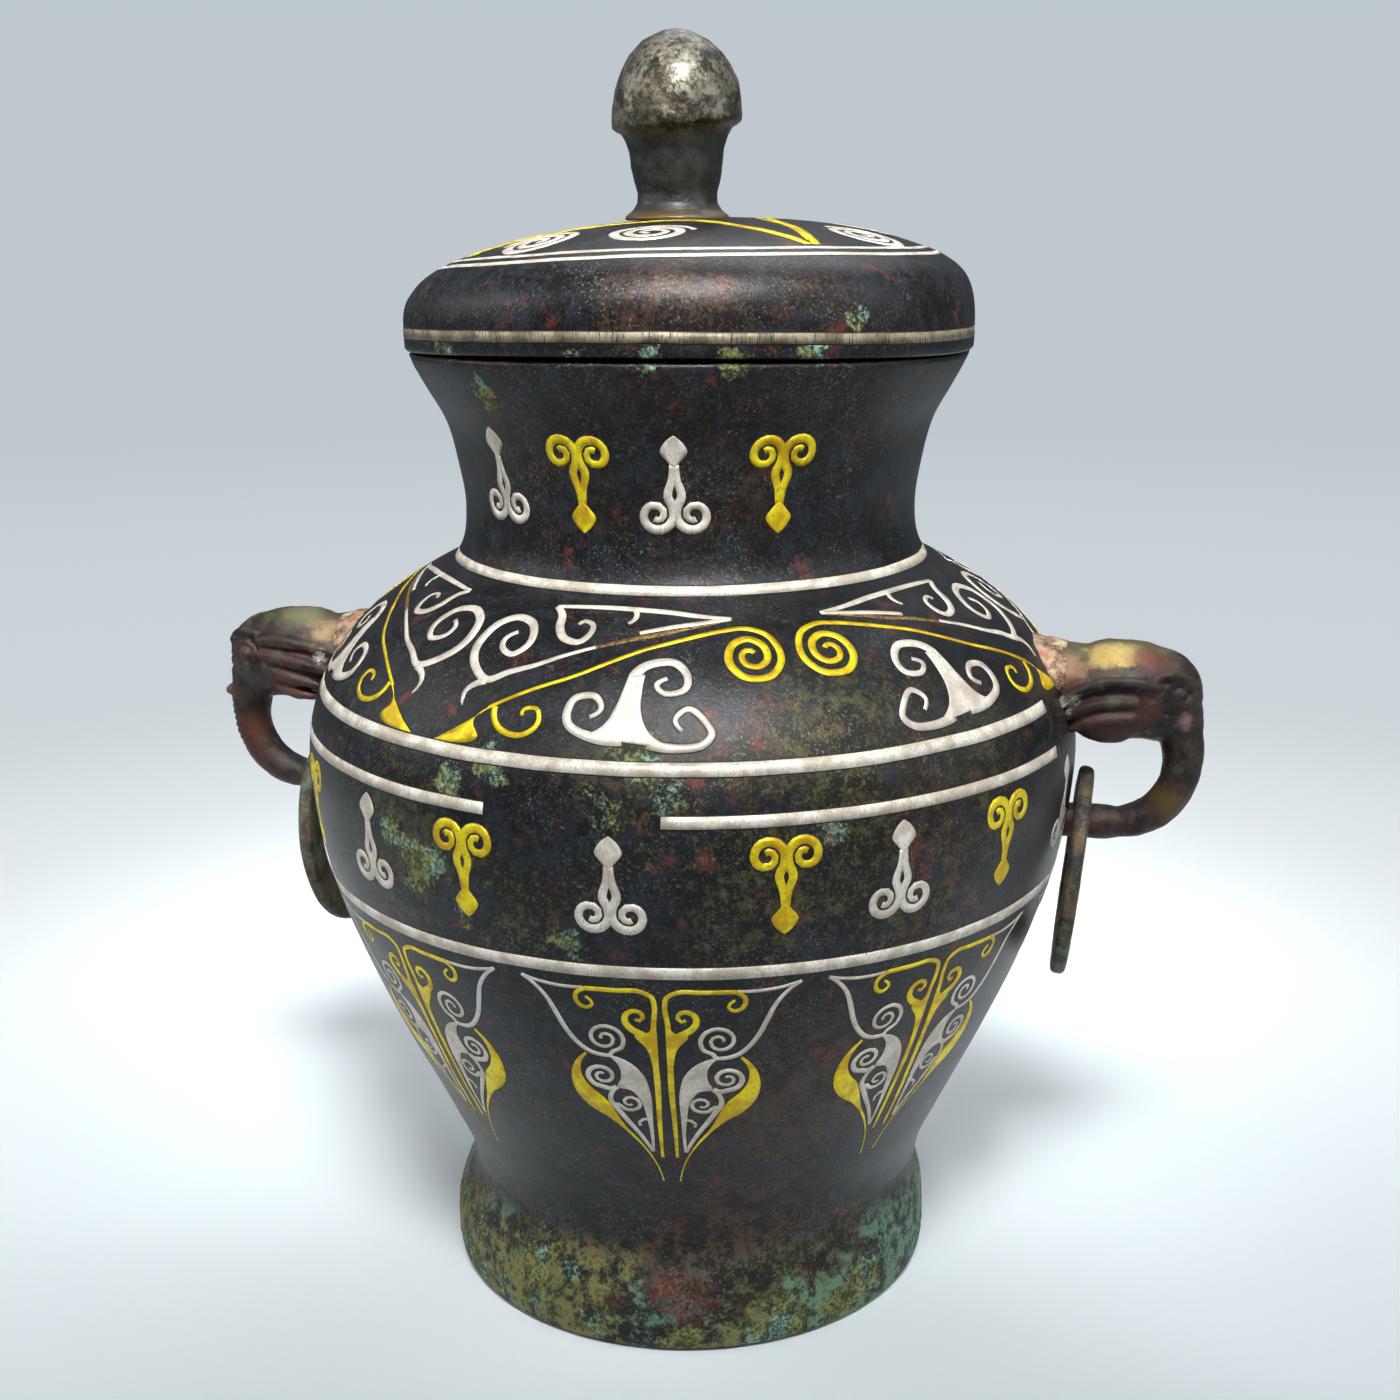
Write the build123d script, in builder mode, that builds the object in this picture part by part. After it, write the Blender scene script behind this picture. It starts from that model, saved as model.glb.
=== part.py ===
# Bronze lei wine jar: a lidded jar with two elephant-head handles, each holding a loose ring.
# Frame: origin at the middle of the jar's underside, +Z up, handles along +X and -X,
# the front of the jar towards -Y. All sizes in millimetres, angles in degrees.
import os
from math import cos, hypot, pi, radians, sin

from build123d import *

os.makedirs("parts", exist_ok=True)

# Heights above the table
foot_height = 27.0
floor_height = 31.0
neck_base_height = 199.0
mouth_height = 252.0
knob_seat_height = 283.6
total_height = 330.0

# Outlines of the turned pieces, as radius and height, from the bottom upwards
belly_outline = [
    (62.6, foot_height),
    (64.2, 35.0),
    (70.6, 50.0),
    (82.4, 75.0),
    (92.7, 100.0),
    (99.0, 120.0),
    (102.0, 138.0),
    (102.6, 150.0),
    (101.0, 160.5),
    (96.0, 172.0),
    (87.6, 182.5),
    (76.6, 191.0),
    (62.3, neck_base_height),
]
mouth_radius = 72.0
neck_outline = [
    belly_outline[-1],
    (60.0, 203.5),
    (58.9, 212.0),
    (60.4, 224.0),
    (63.3, 235.0),
    (68.0, 243.5),
    (71.2, 249.5),
    (mouth_radius, mouth_height),
]
lid_radius = 73.0
lid_outline = [
    (lid_radius, mouth_height + 6.0),
    (72.9, 261.5),
    (72.0, 265.5),
    (69.5, 269.4),
    (64.5, 273.2),
    (58.0, 276.0),
    (48.0, 279.2),
    (36.0, 281.6),
    (15.0, 284.0),
    (0.0, 284.5),
]
foot_outline = [
    (66.0, 0.0),
    (67.2, 7.0),
    (66.9, 14.0),
    (65.8, 20.0),
    (64.2, foot_height),
]

# Walls, seats and clearances
wall = 3.5
foot_inner_radius = 57.5
foot_centre = (-1.6, -0.3)
lid_wall = 3.8
flange_radius = 61.0
flange_wall = 3.0
flange_depth = 9.0
flange_root = 273.0

# Knob of the lid, which stands a little to the left of the jar's axis
knob_centre = (-2.7, -0.6)
knob_base_radius = 13.4
knob_seat_fit = 0.1
cap_radius = 16.8
cap_lip_height = 306.2
cap_lip_rise = 2.0
stem_top_radius = 13.2
stem_waist_radius = 10.1
tenon_radius = 4.5
tenon_fit = 0.05
boss_radius = 11.0
boss_height = 279.8
tenon_head_radius = 7.0
tenon_head_thickness = 1.6
vent_radius = 1.15
vent_side = -2.1
vent_height = 288.3
vent_depth = 6.0

# Elephant-head handle: places are distance from the jar's axis, height, half width and half height
head_sections = [
    (84.0, 168.5, 10.0, 8.0),
    (97.0, 169.6, 10.8, 8.4),
    (102.0, 167.2, 12.2, 11.2),
    (108.0, 166.2, 13.2, 12.8),
    (116.0, 165.9, 13.0, 12.9),
    (124.0, 165.3, 11.0, 11.6),
]
forehead_place = (122.5, 165.0)
forehead_radius = 12.2
trunk_radius = 4.6
trunk_height = 129.8
# Trunk: distance from the axis, height, direction below the horizontal, half width, half thickness
trunk_sections = [
    (127.2, 163.0, 88.0, 8.0, 6.8),
    (129.9, 153.5, 90.0, 6.6, 5.4),
    (129.9, 146.0, 96.0, 5.6, 5.0),
    (128.2, 139.8, 112.0, 5.2, 4.8),
    (124.4, 134.6, 140.0, 5.0, 4.7),
    (118.4, 131.2, 162.0, 4.8, trunk_radius),
    (111.5, trunk_height, 178.0, trunk_radius, trunk_radius),
    (104.6, trunk_height, 180.0, trunk_radius, trunk_radius),
    (98.0, trunk_height, 180.0, trunk_radius, trunk_radius),
]
tusk_place = (135.3, 154.6)
tusk_radius = 1.8
eye_place = (127.4, 9.4, 167.6)
eye_radius = 2.3
ear_outline = [
    (97.5, 171.0),
    (107.0, 173.4),
    (118.0, 171.6),
    (119.6, 165.0),
    (114.6, 155.0),
    (104.0, 158.0),
]
ear_inside = 8.0
ear_outside = 14.6
solder_root = (84.0, 168.4, 16.5, 13.6)
solder_end = (99.5, 169.4, 12.8, 10.4)
handle_keepout = 20.5

# Loose rings: each hangs from its trunk and leans in at the bottom
ring_radius = 28.25
ring_band = 9.2
ring_thickness = 4.2
ring_corner = 1.2
ring_gap = 0.5
ring_lean = 5.8
ring_station = 104.6

# Inlaid bands: where along the outline, how wide, and the stretches that hold metal
band_depth = 0.4
band_proud = 0.1
handle_gap = 15.5
all_round = [(0.0, 360.0)]
front_stretch = (-90.0 + handle_gap, 90.0 - handle_gap)
back_stretch = (90.0 + handle_gap, 270.0 - handle_gap)
lost_stretch = (-15.0, 8.7)

# Inlaid strips of the scrolls lie as thin sheets on the bronze
strip_thickness = 0.25
blade_angles = [-35.0, 7.9, 50.4, 96.2, 142.0, 187.7, 233.5, 279.3]
blade_top = 96.0
unit_width = 81.0
unit_bottom = 149.3
spiral_centre = (70.8, 26.0)
unit_edges = [-27.0, 29.0, 87.0, 148.0, 209.0, 270.0, 333.0]
belly_motif_height = 141.0
neck_motif_height = 224.5
belly_motif_front = [-36.6, -18.3, 2.1, 24.3, 40.4, 59.4]
belly_motif_back_count = 12
neck_motif_front = [-36.2, -12.5, 9.2, 33.1]
petal_count = 4
petal_angle = -2.0
lid_spiral_place = 46.5
lid_spiral_side = 17.5


def shifted(points, distance):
    # Moves each point of an outline square to it, outwards when the distance is positive
    moved = []
    last = len(points) - 1
    for index, (radius, height) in enumerate(points):
        before = points[max(index - 1, 0)]
        after = points[min(index + 1, last)]
        run, rise = after[0] - before[0], after[1] - before[1]
        length = hypot(run, rise)
        moved.append((radius + distance * rise / length, height - distance * run / length))
    return moved


def radial_plane(angle):
    # Upright plane through the jar's axis, at an angle from the front
    turn = radians(angle)
    return Plane(origin=(0, 0, 0), x_dir=(sin(turn), -cos(turn), 0), z_dir=(-cos(turn), -sin(turn), 0))


def cross_plane(place, height, below=0.0):
    # Plane square to a handle's run at one station, turned down by an angle
    turn = radians(below)
    return Plane(origin=(place, 0, height), x_dir=(0, 1, 0), z_dir=(cos(turn), 0, -sin(turn)))


# Outer curves of the jar and of the lid, drawn flat with radius across and height up
belly_curve = Spline(*belly_outline)
lid_curve = Spline(*lid_outline)


def height_on(curve, height):
    # Distance along an outline at which it reaches a height
    low, high = 0.0, curve.length
    while high - low > 0.001:
        middle = (low + high) / 2
        if curve.position_at(middle, position_mode=PositionMode.LENGTH).Y < height:
            low = middle
        else:
            high = middle
    return low


def band_corners(curve, distance, width):
    # Section of a strip that is let into the wall at a distance along the outline
    middle = curve.position_at(distance, position_mode=PositionMode.LENGTH)
    along = curve.tangent_at(distance, position_mode=PositionMode.LENGTH)
    outward = Vector(along.Y, -along.X)
    corners = []
    for side, rise in ((-1, -band_depth), (1, -band_depth), (1, band_proud), (-1, band_proud)):
        corner = middle + along * (side * width / 2) + outward * rise
        corners.append((corner.X, corner.Y))
    return corners


def band(corners, stretches):
    # Ring, or stretches of a ring, with the given section
    with BuildPart() as strip:
        for start, end in stretches:
            with BuildSketch(radial_plane(start)):
                with BuildLine():
                    Polyline(*corners, close=True)
                make_face()
            revolve(axis=Axis.Z, revolution_arc=end - start)
    return strip.part


neck_band_corners = band_corners(belly_curve, belly_curve.length - 2.4, 3.0)
upper_band_corners = band_corners(belly_curve, height_on(belly_curve, 167.4), 3.2)
lower_band_corners = band_corners(belly_curve, height_on(belly_curve, 156.3), 2.8)
belly_band_corners = band_corners(belly_curve, height_on(belly_curve, 119.4), 3.2)
lid_rim_corners = [
    (lid_radius - band_depth, 255.2),
    (lid_radius + band_proud, 255.2),
    (lid_radius + band_proud, 257.9),
    (lid_radius - band_depth, 257.9),
]
lid_edge_corners = [band_corners(lid_curve, height_on(lid_curve, height), 1.3) for height in (273.6, 275.4)]

# Jar body: one casting with a floor, a belly, a shoulder and a waisted neck
inner_belly = [(59.3, floor_height)] + shifted(belly_outline, -wall)[1:]
inner_neck = shifted(neck_outline, -wall)[:-1] + [(mouth_radius - wall, mouth_height)]
with BuildPart() as jar_body:
    with BuildSketch(Plane.XZ):
        with BuildLine():
            Spline(*belly_outline)
            Spline(*neck_outline)
            Line(neck_outline[-1], inner_neck[-1])
            Spline(*reversed(inner_neck))
            Line(inner_neck[0], inner_belly[-1])
            Spline(*reversed(inner_belly))
            Polyline(inner_belly[0], (0, floor_height), (0, foot_height), belly_outline[0])
        make_face()
    revolve(axis=Axis.Z)
    add(band(neck_band_corners, all_round), mode=Mode.SUBTRACT)
    add(band(upper_band_corners, [front_stretch, back_stretch]), mode=Mode.SUBTRACT)
    add(band(lower_band_corners, [front_stretch, back_stretch]), mode=Mode.SUBTRACT)
    add(band(belly_band_corners, all_round), mode=Mode.SUBTRACT)

# Solid shape of the jar's outside, which trims whatever is fixed to the wall
with BuildPart() as envelope:
    with BuildSketch(Plane.XZ):
        with BuildLine():
            Spline(*belly_outline)
            Polyline(belly_outline[-1], (0, neck_base_height), (0, foot_height), belly_outline[0])
        make_face()
    revolve(axis=Axis.Z)

# Ring foot: a flared hoop with a rounded top edge, hollow underneath
foot_axis = Axis((*foot_centre, 0), (0, 0, 1))
with BuildPart() as foot_ring:
    with BuildSketch(Plane(origin=(*foot_centre, 0), x_dir=(1, 0, 0), z_dir=(0, -1, 0))):
        with BuildLine():
            Spline(*foot_outline)
            Polyline(
                foot_outline[-1],
                (foot_inner_radius, foot_height),
                (foot_inner_radius, 0),
                foot_outline[0],
            )
        make_face()
    revolve(axis=foot_axis)

# Lid: a domed shell with a locating flange that drops into the mouth
inner_lid = shifted(lid_outline, -lid_wall)
inner_lid[-1] = (0, lid_outline[-1][1] - lid_wall)
with BuildPart() as lid_shell:
    with BuildSketch(Plane.XZ):
        with BuildLine():
            Spline(*lid_outline)
            Line(lid_outline[-1], inner_lid[-1])
            Spline(*reversed(inner_lid))
            Polyline(
                inner_lid[0],
                (inner_lid[0][0], mouth_height),
                (lid_radius, mouth_height),
                lid_outline[0],
            )
        make_face()
        with BuildLine():
            Polyline(
                (flange_radius - flange_wall, mouth_height - flange_depth),
                (flange_radius, mouth_height - flange_depth),
                (flange_radius, flange_root),
                (flange_radius - flange_wall, flange_root),
                close=True,
            )
        make_face()
    revolve(axis=Axis.Z)
    with BuildSketch(Plane.XY.offset(boss_height)):
        with Locations(knob_centre):
            Circle(boss_radius)
    extrude(amount=knob_seat_height - boss_height)
    with BuildSketch(Plane.XY.offset(knob_seat_height)):
        with Locations(knob_centre):
            Circle(knob_base_radius + knob_seat_fit)
    extrude(amount=2.0, mode=Mode.SUBTRACT)
    with BuildSketch(Plane.XY.offset(boss_height)):
        with Locations(knob_centre):
            Circle(tenon_radius + tenon_fit)
    extrude(amount=10.0, mode=Mode.SUBTRACT)
    add(band(lid_rim_corners, all_round), mode=Mode.SUBTRACT)
    for corners in lid_edge_corners:
        add(band(corners, all_round), mode=Mode.SUBTRACT)

# Knob: an acorn cap over a waisted stem, with a tenon peened under the lid
knob_axis = Axis((*knob_centre, 0), (0, 0, 1))
knob_plane = Plane(origin=(*knob_centre, 0), x_dir=(1, 0, 0), z_dir=(0, -1, 0))
tenon_foot = boss_height - tenon_head_thickness
with BuildPart() as lid_knob:
    with BuildSketch(knob_plane):
        with BuildLine():
            Spline(
                (0, total_height),
                (8.4, 327.4),
                (14.2, 320.8),
                (16.5, 314.0),
                (cap_radius, cap_lip_height + cap_lip_rise),
                tangents=((1, 0), (0, -1)),
            )
            Line((cap_radius, cap_lip_height + cap_lip_rise), (cap_radius - 0.5, cap_lip_height))
            Line((cap_radius - 0.5, cap_lip_height), (stem_top_radius, cap_lip_height - 2.4))
            Spline(
                (stem_top_radius, cap_lip_height - 2.4),
                (11.9, 299.0),
                (11.0, 293.4),
                (stem_waist_radius, 289.3),
                (knob_base_radius, 284.6),
            )
            Polyline(
                (knob_base_radius, 284.6),
                (knob_base_radius, knob_seat_height),
                (tenon_radius, knob_seat_height),
                (tenon_radius, boss_height),
                (tenon_head_radius, boss_height),
                (tenon_head_radius, tenon_foot),
                (0, tenon_foot),
                (0, total_height),
            )
        make_face()
    revolve(axis=knob_axis)
    with BuildSketch(Plane.XZ.offset(stem_waist_radius - vent_depth)):
        with Locations((knob_centre[0] + vent_side, vent_height)):
            Circle(vent_radius)
    extrude(amount=20.0, mode=Mode.SUBTRACT)

# Elephant-head handle: head, forehead, ears, eyes and tusk with the trunk curled back to the wall
with BuildPart() as handle:
    for place, height, half_width, half_height in head_sections:
        with BuildSketch(cross_plane(place, height)):
            Ellipse(half_width, half_height)
    loft()
    with Locations((forehead_place[0], 0, forehead_place[1])):
        Sphere(forehead_radius)
    for place, height, below, half_width, half_thickness in trunk_sections:
        with BuildSketch(cross_plane(place, height, below)):
            Ellipse(half_width, half_thickness)
    loft()
    with BuildSketch(Plane.XZ.offset(ear_inside)):
        with BuildLine():
            Spline(*ear_outline, periodic=True)
        make_face()
    ear = extrude(amount=ear_outside - ear_inside)
    mirror(ear, about=Plane.XZ)
    with Locations((tusk_place[0], 0, tusk_place[1])):
        Sphere(tusk_radius)
    with Locations(eye_place, (eye_place[0], -eye_place[1], eye_place[2])):
        Sphere(eye_radius)
    add(envelope.part, mode=Mode.SUBTRACT)

# Solder collar that fairs the handle's root into the shoulder
with BuildPart() as solder:
    for place, height, half_width, half_height in (solder_root, solder_end):
        with BuildSketch(cross_plane(place, height)):
            Ellipse(half_width, half_height)
    loft()
    add(envelope.part, mode=Mode.SUBTRACT)
    add(handle.part, mode=Mode.SUBTRACT)

# Loose ring: a flat hoop that hangs from the trunk
ring_drop = ring_radius - ring_band - trunk_radius - ring_gap
ring_centre = (
    ring_station - ring_drop * sin(radians(ring_lean)),
    trunk_height - ring_drop * cos(radians(ring_lean)),
)
with BuildPart() as ring:
    with BuildSketch(cross_plane(*ring_centre, ring_lean).offset(-ring_thickness / 2)):
        Circle(ring_radius)
        Circle(ring_radius - ring_band, mode=Mode.SUBTRACT)
    extrude(amount=ring_thickness)
    fillet(ring.edges(), radius=ring_corner)


def turned(shape, angles):
    # Copies of a shape turned about the jar's axis
    with BuildPart() as copies:
        with Locations(*[Location((0, 0, 0), (0, 0, angle)) for angle in angles]):
            add(shape)
    return copies.part


with BuildPart() as right_handle:
    add(turned(handle.part, [0]))
with BuildPart() as left_handle:
    add(turned(handle.part, [180]))
with BuildPart() as right_handle_solder:
    add(turned(solder.part, [0]))
with BuildPart() as left_handle_solder:
    add(turned(solder.part, [180]))
with BuildPart() as right_ring:
    add(turned(ring.part, [0]))
with BuildPart() as left_ring:
    add(turned(ring.part, [180]))

# Inlaid bands, each as deep as its channel and a hair proud
with BuildPart() as neck_band:
    add(band(neck_band_corners, all_round))
with BuildPart() as shoulder_band_upper:
    add(band(upper_band_corners, [front_stretch, back_stretch]))
with BuildPart() as shoulder_band_lower:
    kept = [(front_stretch[0], lost_stretch[0]), (lost_stretch[1], front_stretch[1]), back_stretch]
    add(band(lower_band_corners, kept))
with BuildPart() as belly_band:
    add(band(belly_band_corners, all_round))
with BuildPart() as lid_rim_band:
    add(band(lid_rim_corners, all_round))
with BuildPart() as lid_edge_lines:
    for corners in lid_edge_corners:
        add(band(corners, all_round))


def skin(outline):
    # Thin layer that lies on the outside of an outline, all round the jar
    outer = shifted(outline, strip_thickness)
    if outline[-1][0] == 0:
        outer[-1] = (0, outline[-1][1] + strip_thickness)
    with BuildPart() as layer:
        with BuildSketch(Plane.XZ):
            with BuildLine():
                Spline(*outline)
                Line(outline[-1], outer[-1])
                Spline(*reversed(outer))
                Line(outer[0], outline[0])
            make_face()
        revolve(axis=Axis.Z)
    return layer.part


belly_skin = skin(belly_outline)
neck_skin = skin(neck_outline)
lid_skin = skin(lid_outline)


def curl(centre, start_radius, end_radius, start_angle, turns):
    # Points of a spiral that winds in from its start radius, anticlockwise when the turns are positive
    steps = max(round(abs(turns) * 7), 4)
    points = []
    for step in range(steps + 1):
        share = step / steps
        radius = start_radius + (end_radius - start_radius) * share
        angle = radians(start_angle) + 2 * pi * turns * share
        points.append((centre[0] + radius * cos(angle), centre[1] + radius * sin(angle)))
    return points


def ribbon(points, width, end_width, place):
    # Inlaid strip along smooth points drawn on the unrolled surface, put into its view by place
    left, right = [], []
    last = len(points) - 1
    for index, (across, along) in enumerate(points):
        before = points[max(index - 1, 0)]
        after = points[min(index + 1, last)]
        run, rise = after[0] - before[0], after[1] - before[1]
        half = (width + (end_width - width) * index / last) / 2 / hypot(run, rise)
        left.append(place(across - rise * half, along + run * half))
        right.append(place(across + rise * half, along - run * half))
    with BuildSketch() as strip:
        with BuildLine():
            Spline(*left)
            Line(left[-1], right[-1])
            Spline(*reversed(right))
            Line(right[0], left[0])
        make_face()
    return strip.sketch


def patch(first_side, second_side, place):
    # Filled piece of inlay between two smooth sides that run from one shared end to the other
    with BuildSketch() as piece:
        with BuildLine():
            Spline(*[place(*point) for point in first_side])
            Spline(*[place(*point) for point in second_side])
        make_face()
    return piece.sketch


def on_blade(across, down):
    # Front view of a point on the belly: across from the blade's axis and down from its top
    spot = belly_curve.position_at(blade_top - down, position_mode=PositionMode.LENGTH)
    return spot.X * sin(across / spot.X), spot.Y


def cut_to(drawing, layer):
    # The part of a thin layer that lies behind a drawing seen from the front
    with BuildPart() as sheet:
        with BuildSketch(Plane.XZ.offset(30.0)):
            add(drawing)
        extrude(amount=90.0)
        add(layer, mode=Mode.INTERSECT)
    return sheet.part


# Hanging blade: two gold stems, gold crescents and silver leaves, alike left and right
blade_stem = [(17.5, 1.9), (5.0, 1.9), (2.4, 3.3), (1.7, 7.0), (1.7, 30.0), (1.8, 59.5)]
with BuildSketch() as blade_gold:
    add(ribbon(blade_stem, 1.2, 0.9, on_blade))
    add(patch(
        [(18.6, 23.4), (22.2, 27.6), (22.6, 34.0), (18.6, 41.6), (8.2, 52.8), (2.5, 69.0)],
        [(2.5, 69.0), (7.4, 52.8), (14.6, 40.4), (20.4, 33.4), (20.8, 27.4), (18.6, 23.4)],
        on_blade,
    ))
    mirror(about=Plane.YZ)
with BuildSketch() as blade_silver:
    add(ribbon(
        [(32.6, 0.5), (27.1, 5.8), (23.8, 12.8), (20.2, 19.0), (17.2, 21.4)]
        + curl((13.5, 16.9), 4.9, 3.2, 80, 0.9), 1.2, 0.9, on_blade,
    ))
    add(patch(
        [(14.4, 21.6), (7.0, 25.2), (3.6, 34.0), (3.3, 45.0), (3.6, 57.4)],
        [(3.6, 57.4), (4.6, 38.0), (10.6, 33.4), (10.0, 26.2), (14.4, 21.6)],
        on_blade,
    ))
    add(ribbon([(10.4, 32.0), (13.0, 37.4), (9.6, 45.6), (3.9, 57.2)], 1.1, 0.9, on_blade))
    mirror(about=Plane.YZ)
with BuildPart() as belly_blades_gold:
    add(turned(cut_to(blade_gold.sketch, belly_skin), blade_angles))
with BuildPart() as belly_blades_silver:
    add(turned(cut_to(blade_silver.sketch, belly_skin), blade_angles))


def shoulder_view(start, end):
    # Plan view of a scroll unit that runs round the shoulder from one angle to another
    def place(across, up):
        spot = belly_curve.position_at(unit_bottom + up, position_mode=PositionMode.LENGTH)
        turn = radians(start + (end - start) * across / unit_width)
        return spot.X * sin(turn), -spot.X * cos(turn)
    return place


def shoulder_unit_gold(place):
    # Arrowhead, long stem, hook and an end spiral of two strips
    with BuildSketch() as unit:
        add(patch(
            [(4.2, 2.2), (6.4, 4.6), (9.0, 7.0), (12.0, 9.6), (15.4, 12.4)],
            [(15.4, 12.4), (13.2, 9.2), (12.9, 6.6), (11.4, 4.4), (8.0, 3.0), (4.2, 2.2)],
            place,
        ))
        add(ribbon([(16.0, 12.2), (31.0, 21.2), (47.0, 30.0), (60.0, 34.6)], 1.5, 1.5, place))
        add(ribbon(
            [(60.9, 34.9), (65.4, 35.8)] + curl(spiral_centre, 9.8, 7.8, 87, -0.5), 1.5, 1.5, place,
        ))
        add(ribbon(curl(spiral_centre, 7.6, 4.0, -103, -0.85), 1.5, 1.2, place))
        add(ribbon([(15.8, 11.8), (17.2, 7.0), (21.4, 4.8), (26.0, 8.4)], 1.5, 1.2, place))
    return unit.sketch


def shoulder_unit_silver(place):
    # Long triangle, root spiral and the cloud of three spirals
    with BuildSketch() as unit:
        add(patch(
            [(18.4, 41.6), (34.0, 42.9), (52.0, 42.0), (68.2, 39.2)],
            [(68.2, 39.2), (52.0, 39.9), (34.0, 41.3), (18.4, 41.6)], place,
        ))
        add(ribbon([(67.4, 39.2), (58.0, 37.6), (44.0, 34.0), (35.4, 30.6)], 1.3, 1.3, place))
        add(ribbon([(18.4, 41.5), (22.4, 35.0), (27.4, 30.8), (31.6, 34.0)], 1.5, 1.1, place))
        add(ribbon([(26.0, 26.0), (15.0, 19.6), (8.6, 15.6), (7.0, 10.8)], 1.4, 1.0, place))
        add(ribbon([(13.0, 18.8)] + curl((9.6, 27.6), 8.6, 3.6, -80, -1.2), 1.8, 1.5, place))
        add(patch(
            [(37.4, 6.6), (42.4, 10.0), (44.2, 20.4), (47.6, 25.4), (52.4, 25.0)],
            [(52.4, 25.0), (48.2, 21.0), (47.2, 13.6), (50.6, 6.8), (56.0, 3.8), (46.0, 4.6), (37.4, 6.6)],
            place,
        ))
        add(ribbon([(49.6, 24.8)] + curl((52.2, 20.2), 4.6, 2.2, 60, -0.7), 1.5, 1.2, place))
        add(ribbon([(40.0, 6.0)] + curl((35.8, 10.4), 4.7, 2.2, -70, -0.7), 1.5, 1.2, place))
        add(ribbon([(52.0, 4.4)] + curl((57.2, 8.6), 4.8, 2.2, -110, 0.7), 1.5, 1.2, place))
    return unit.sketch


def shoulder_scrolls(draw_unit):
    # Six scroll units round the shoulder, each second one reversed, kept clear of the handles
    with BuildPart() as scrolls:
        for number, (start, end) in enumerate(zip(unit_edges[:-1], unit_edges[1:])):
            place = shoulder_view(start, end) if number % 2 == 0 else shoulder_view(end, start)
            with BuildSketch(Plane.XY.offset(150.0)):
                add(draw_unit(place))
            extrude(amount=60.0)
        add(belly_skin, mode=Mode.INTERSECT)
        with Locations((0, 0, 175.0)):
            Box(240.0, 2 * handle_keepout, 60.0, mode=Mode.SUBTRACT)
    return scrolls.part


with BuildPart() as shoulder_scrolls_gold:
    add(shoulder_scrolls(shoulder_unit_gold))
with BuildPart() as shoulder_scrolls_silver:
    add(shoulder_scrolls(shoulder_unit_silver))


def upright_at(height):
    # Front view of a small motif that is centred at a height
    def place(across, up):
        return across, height + up
    return place


def forked_curls(height, way):
    # Motif of a stem that parts into two curls, with a lozenge at its foot, upright or upside down
    place = upright_at(height)
    fork = [(0, -5.0), (0.2, -1.0), (1.2, 3.0)] + curl((3.4, 7.2), 3.2, 2.4, 200, -0.65)
    with BuildSketch() as motif:
        add(ribbon([(across, way * up) for across, up in fork], 1.6, 1.4, place))
        mirror(about=Plane.YZ)
        with BuildLine():
            Polyline(
                place(0, way * -12.0),
                place(3.0, way * -8.4),
                place(0, way * -4.6),
                place(-3.0, way * -8.4),
                close=True,
            )
        make_face()
    return motif.sketch


back_step = (360.0 + belly_motif_front[0] - belly_motif_front[-1]) / (belly_motif_back_count + 1)
belly_motif_back = [
    belly_motif_front[-1] + back_step * (count + 1) for count in range(belly_motif_back_count)
]
belly_motif_angles = belly_motif_front + belly_motif_back
neck_motif_angles = neck_motif_front + [angle + 180.0 for angle in neck_motif_front]
with BuildPart() as belly_motifs_silver:
    add(turned(cut_to(forked_curls(belly_motif_height, -1), belly_skin), belly_motif_angles[0::2]))
with BuildPart() as belly_motifs_gold:
    add(turned(cut_to(forked_curls(belly_motif_height, 1), belly_skin), belly_motif_angles[1::2]))
with BuildPart() as neck_motifs_silver:
    add(turned(cut_to(forked_curls(neck_motif_height, -1), neck_skin), neck_motif_angles[0::2]))
with BuildPart() as neck_motifs_gold:
    add(turned(cut_to(forked_curls(neck_motif_height, 1), neck_skin), neck_motif_angles[1::2]))


def on_lid(across, out):
    # Plan view of the lid: degrees from a petal's middle and distance from the axis
    return out * sin(radians(across)), -out * cos(radians(across))


def as_drawn(across, along):
    # Points that are already in plan view stay as they are
    return across, along


def lid_petal_gold():
    # Two gold arcs that bow in towards the knob between the petals' points
    with BuildSketch() as arcs:
        for point_out, middle_out, width in ((58.5, 22.0, 1.6), (55.0, 19.4, 1.0)):
            with BuildLine() as bow:
                ThreePointArc(on_lid(-44.0, point_out), on_lid(0, middle_out), on_lid(44.0, point_out))
            points = [bow.line @ (step / 12) for step in range(13)]
            add(ribbon([(point.X, point.Y) for point in points], width, width, as_drawn))
    return arcs.sketch


def lid_petal_silver():
    # Two flat spirals side by side inside a petal
    with BuildSketch() as spirals:
        for side in (-1, 1):
            centre = on_lid(side * lid_spiral_side, lid_spiral_place)
            add(ribbon(curl(centre, 8.6, 3.4, 90, side * 1.3), 1.8, 1.5, as_drawn))
    return spirals.sketch


def lid_scrolls(drawing):
    # Copies of a petal's strips, laid on the lid's dome
    with BuildPart() as scrolls:
        with BuildSketch(Plane.XY.offset(270.0)):
            angles = [petal_angle + number * 360 / petal_count for number in range(petal_count)]
            with Locations(*[Location((0, 0, 0), (0, 0, angle)) for angle in angles]):
                add(drawing)
        extrude(amount=25.0)
        add(lid_skin, mode=Mode.INTERSECT)
    return scrolls.part


with BuildPart() as lid_scrolls_gold:
    add(lid_scrolls(lid_petal_gold()))
with BuildPart() as lid_scrolls_silver:
    add(lid_scrolls(lid_petal_silver()))

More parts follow.
